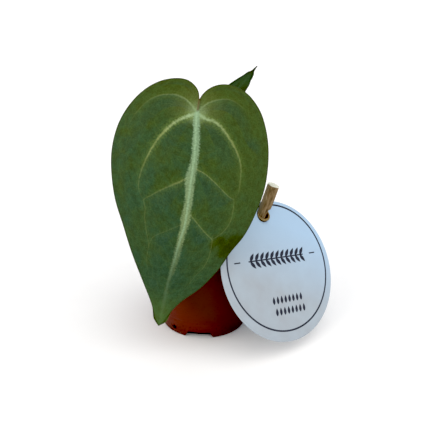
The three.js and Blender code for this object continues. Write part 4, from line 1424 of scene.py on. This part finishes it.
def leaf_outline(x, y, length, width, turn_deg):
    """A small pointed leaf that starts at a place and leans by an angle."""
    c, s = math.cos(math.radians(turn_deg)), math.sin(math.radians(turn_deg))
    shares = np.linspace(0, 1, 9)
    bulge = width / 2 * np.sin(math.pi * shares ** 0.8)
    side = np.column_stack([shares * length, bulge])
    other = np.column_stack([shares * length, -bulge])[::-1][1:-1]
    return [(x + px * c - py * s, y + px * s + py * c) for px, py in np.vstack([side, other])]


def build_print(material):
    """The tag's print: a fine ring, two dashes, a plain sprig between them and two rows of leaf marks."""
    parts = [ink_ring(PRINT_RING_CENTRE, PRINT_RING_RADIUS, PRINT_RING_WIDTH)]
    for left, right, y, width in PRINT_BARS:
        low, high = y - width / 2, y + width / 2
        parts.append(ink_shape([(left, low), (right, low), (right, high), (left, high)]))
    for k in range(SPRIG_LEAVES):
        x = SPRIG_START + SPRIG_SPACING * k
        for y, lean in SPRIG_SIDES:
            parts.append(ink_shape(leaf_outline(x, y, *SPRIG_LEAF_SIZE, lean)))
    for row, y in enumerate(LEAF_ROW_HEIGHTS):
        middle = LEAF_ROW_MIDDLE + LEAF_ROW_SHIFT * row
        for k in range(LEAF_ROW_COUNT):
            x = middle + LEAF_ROW_SPACING * (k - (LEAF_ROW_COUNT - 1) / 2)
            parts.append(ink_shape(leaf_outline(x, y, *LEAF_ROW_SIZE, LEAF_ROW_LEAN)))
    make_piece("tag_print", *joined(parts), [material], "tag_card", sharp_deg=30)


def build_stick(material):
    """The stick: whittled flat on one side, with a shoulder above the hole, bark on the other side, a slight
    bow above the hole, a ragged cut end and a point in the mix."""
    top, direction, across, sideways = stick_frame()
    shoulder = STICK_ABOVE_HOLE - STICK_SHOULDER_ABOVE_HOLE
    downs = np.concatenate([[0, 0.12, 0.3, 0.6], np.linspace(1, STICK_LENGTH, 150)])
    thick = STICK_RADIUS + STICK_SWELL
    point = (STICK_LENGTH, STICK_RADIUS * STICK_POINT_SHARE)
    radius_of = [(0, thick * STICK_END_SHARE), (STICK_END_ROUND, thick), (STICK_ABOVE_HOLE, thick),
                 (STICK_ABOVE_HOLE + STICK_SWELL_FADES, STICK_RADIUS),
                 (STICK_LENGTH - STICK_POINT, STICK_RADIUS), point]
    flat_of = [(0, thick), (shoulder, STICK_RADIUS), (shoulder + STICK_SHOULDER, STICK_FLAT),
               (STICK_LENGTH - STICK_POINT, STICK_FLAT), point]
    sides = 72
    angle = around(sides)
    whittle = 0.1 * np.cos(3 * angle + 0.6) + 0.05 * np.cos(7 * angle + 2)
    rings, places = [], []
    for k, down in enumerate(downs):
        cut_end = float(k < 3)
        radius = np.interp(down, *zip(*radius_of))
        flat = np.interp(down, *zip(*flat_of))
        groove = np.array([noise.fractal(Vector((math.cos(a) * 4, math.sin(a) * 4, down * 0.16)), 0.7, 2, 4)
                           for a in angle])
        size = radius * (1 + whittle * 0.5) + STICK_GROOVE * groove - STICK_GROOVE / 2
        bark = STICK_BARK * smoothstep(shoulder + BARK_ENDS, shoulder + BARK_THINS, down)
        bark = bark * np.maximum(0, -np.cos(angle)) ** 1.5
        outward = np.minimum((size + bark) * np.cos(angle), flat + STICK_FLAT_GROOVE * groove)
        ragged = STICK_RAGGED_END * groove * cut_end
        bow = -STICK_BOW * max(0, 1 - down / STICK_ABOVE_HOLE) ** 2
        centre = top - direction * down + across * bow
        rings.append(centre + outward[:, None] * across + (size * np.sin(angle))[:, None] * sideways
                     + ragged[:, None] * direction)
        places.append(np.column_stack([angle * STICK_RADIUS, np.full(sides, down), np.full(sides, cut_end)]))
    ends = [top + direction * 0.1 - across * STICK_BOW, top - direction * (STICK_LENGTH + 0.1)]
    count = len(downs) * sides
    faces = grid_faces(len(downs), sides, True)
    for middle, first in ((count, 0), (count + 1, count - sides)):
        faces += [[middle, first + i, first + (i + 1) % sides] for i in range(sides)]
    places = np.vstack([*places, [(0, 0, 1), (0, STICK_LENGTH, 0)]])
    make_piece("tag_stick_whittled", np.vstack([*rings, ends]), faces, [material], "bare_wood",
               ("tag_stick",), {"wood": places}, sharp_deg=55)


def raffia_turn(radius, strand, out, first, last, in_front=False):
    """One turn of raffia round the stick. One in front stands out more and is thicker at its bottom."""
    direction = unit(STICK_DIRECTION)
    facing = tag_axes()[2]
    drift = direction / (direction @ facing) - facing
    line = []
    for a in np.radians(np.linspace(first, last, 70)):
        low = max(0, -math.sin(a)) if in_front else 0
        wobble = radius + RAFFIA_WOBBLE * math.sin(7 * a + radius) - RAFFIA_FRONT_RISE * low
        centre = on_card(wobble * math.cos(a), TAG_HOLE_UP + wobble * math.sin(a), out + low)
        line.append(centre + drift * min(0, out) * RAFFIA_DRIFT)

    def strand_radius(travelled, angle):
        below = max(0, -math.sin(math.radians(first) + travelled / radius)) if in_front else 0
        ends = min(1, 0.35 + travelled / RAFFIA_FRONT_TAPER) if in_front else 1
        ridges = strand * RAFFIA_RIDGES * np.sin(3 * angle + 3 * travelled)
        return (strand + RAFFIA_FRONT_SWELL * below) * ends + ridges

    return tube(spline(line, 140), 10, strand_radius)[:2]


def build_tie(fresh, painted_shade):
    """Raffia wound round the stick in the card's hole, which keeps the card from sliding down. One turn is
    in front of the card, just inside the hole's rim. The others fill the hole and lie behind it, in darker
    raffia that is painted shade."""
    front = [raffia_turn(*RAFFIA_IN_FRONT, in_front=True)]
    behind = [raffia_turn(*turn) for turn in RAFFIA_BEHIND]
    make_piece("tag_tie_raffia", *joined(front + behind), [fresh, painted_shade], "bare_wood",
               face_material=materials_of(front, behind))


def build_stage():
    """The floor: a plain square, a hair below the pot."""
    size, low = FLOOR_REACH * MM, -FLOOR_DROP * MM
    mesh = bpy.data.meshes.new("floor")
    mesh.from_pydata([(-size, -size, low), (size, -size, low), (size, size, low), (-size, size, low)],
                     [], [(0, 1, 2, 3)])
    mesh.materials.append(studio_floor())
    floor = place_in_scene("floor", mesh)


def add_soft_light(name, place, strength, tint, width_deg):
    """A light far off in the direction of a place. The wider it is, the softer its shadows are."""
    light = bpy.data.lights.new(name, "SUN")
    light.energy = strength
    light.color = colour(tint)[:3]
    light.angle = math.radians(width_deg)
    lamp = place_in_scene(name, light)
    lamp.location = place
    lamp.rotation_euler = (-Vector(place)).to_track_quat("-Z", "Y").to_euler()


def build_light():
    """Two broad soft lights, and a pale surround that is dimmer overhead."""
    world = bpy.data.worlds.new("soft_studio")
    world.use_nodes = True
    tree = world.node_tree
    direction = add(tree, "TexCoord").node.outputs["Generated"]
    upward = add(tree, "SeparateXYZ", {0: direction}).node.outputs[2]
    strength = add(tree, "MapRange", {"Value": upward, "From Min": 0.3, "From Max": 0.5, "To Min": 1.06,
                                      "To Max": 0.72})
    sky = tree.nodes["Background"]
    sky.inputs["Color"].default_value = colour("#f7faff")
    tree.links.new(strength, sky.inputs["Strength"])
    bpy.context.scene.world = world
    add_soft_light("broad_key", place=(0.42, -0.5, 0.8), strength=1.5, tint="#fffaf3", width_deg=80)
    add_soft_light("fill_left", place=(-0.8, -0.45, 0.42), strength=1.15, tint="#fff6ea", width_deg=60)


def build_camera():
    """The photograph's camera. The view's black level brings the deepest shades down to the photograph's."""
    scene = bpy.context.scene
    camera = bpy.data.cameras.new("camera")
    camera.sensor_width = SENSOR_WIDTH
    camera.lens = FOCAL_PIXELS * SENSOR_WIDTH / FRAME_PIXELS
    camera.clip_start = 0.01
    camera.clip_end = 30
    view = place_in_scene("camera", camera)
    view.location = Vector(CAMERA_PLACE) * MM
    view.rotation_euler = (math.radians(90 - CAMERA_PITCH_DEG), 0, 0)
    scene.camera = view
    scene.view_settings.view_transform = "Standard"
    scene.view_settings.use_curve_mapping = True
    scene.view_settings.curve_mapping.black_level = (BLACK_LEVEL,) * 3


underside = leaf_underside()
build_blade("large_blade", LARGE_LEAF, velvet_blade("leaf_velvet_upper_face", LARGE_GREENS), underside,
            "leaf_tissue", "leaf_large")
build_blade("young_blade", SMALL_LEAF, velvet_blade("young_leaf_velvet_upper_face", SMALL_GREENS), underside,
            "young_leaf_tissue", "leaf_small")
stalk_skin = petiole_skin()
build_petiole("large_petiole", LARGE_LEAF, stalk_skin, "petiole_large")
build_petiole("young_petiole", SMALL_LEAF, stalk_skin, "petiole_small")
build_crown(
    dried_stem("crown_green_bark", "#56542f", "#85804f", (1.2, 1.2, 0.6), 0.3),
    dried_stem("root_velamen", "#8a7a5c", "#b9ab8b", (1.5, 1.5, 0.7), 0.2),
    dried_stem("sheath_dried_papery", "#6f5638", "#b79a70", (2.6, 2.6, 0.16), 0.18),
)
build_pot(moulded_polypropylene())

peat_and_coir = crumb_material("mix_coir_and_peat", [(0.35, "#4b3a2a"), (0.65, "#7b6048")], scale=1.3,
                               roughness=0.95, depth=0.5)
bark = crumb_material("pine_bark_broken", [(0.3, "#4d3625"), (0.55, "#80603f"), (0.75, "#a98a62")],
                      scale=0.9, roughness=0.85, depth=0.25)
peat = crumb_material("peat_crumbs", [(0.35, "#4d3b2b"), (0.7, "#7f654a")], scale=1.6, roughness=0.95,
                      depth=0.2)
perlite = crumb_material("expanded_perlite", [(0.35, "#c9c7bf"), (0.65, "#f0efea")], scale=2.2,
                         roughness=0.8, depth=0.25)
coir = crumb_material("coir_fibre", [(0.3, "#5a3c22"), (0.7, "#8d6840")], scale=1.5, roughness=0.8,
                      depth=0.05)
chance = random.Random(GRAIN_SEED)
build_potting_mix(peat_and_coir)
build_grains("bark_chips", bark, chance, count=190, sizes=(2.8, 6.6), keep_off=0.25, shape=(1, 0.66, 0.4),
             cuts=9, level=2, sunk=0.15)
build_grains("mix_crumbs", peat, chance, count=420, sizes=(0.8, 1.8), keep_off=0.25, shape=(1, 0.85, 0.7),
             cuts=4, level=1, sunk=0.1)
build_grains("perlite_grains", perlite, chance, count=52, sizes=(1.4, 3), keep_off=0.5,
             shape=(1, 0.85, 0.8), cuts=5, level=2, sunk=0.05)
build_fibres(coir, chance)
build_tag(coated_card())
build_print(printing_ink())
build_stick(whittled_wood())
# The turns behind the card are darker raffia: painted shade in the hole
build_tie(dried_stem("tie_raffia", "#67563b", "#a08c66", (3, 3, 3), 0.1),
          dried_stem("tie_raffia_painted_shade", "#33261b", "#5a452e", (3, 3, 3), 0.1))
build_stage()
build_light()
build_camera()
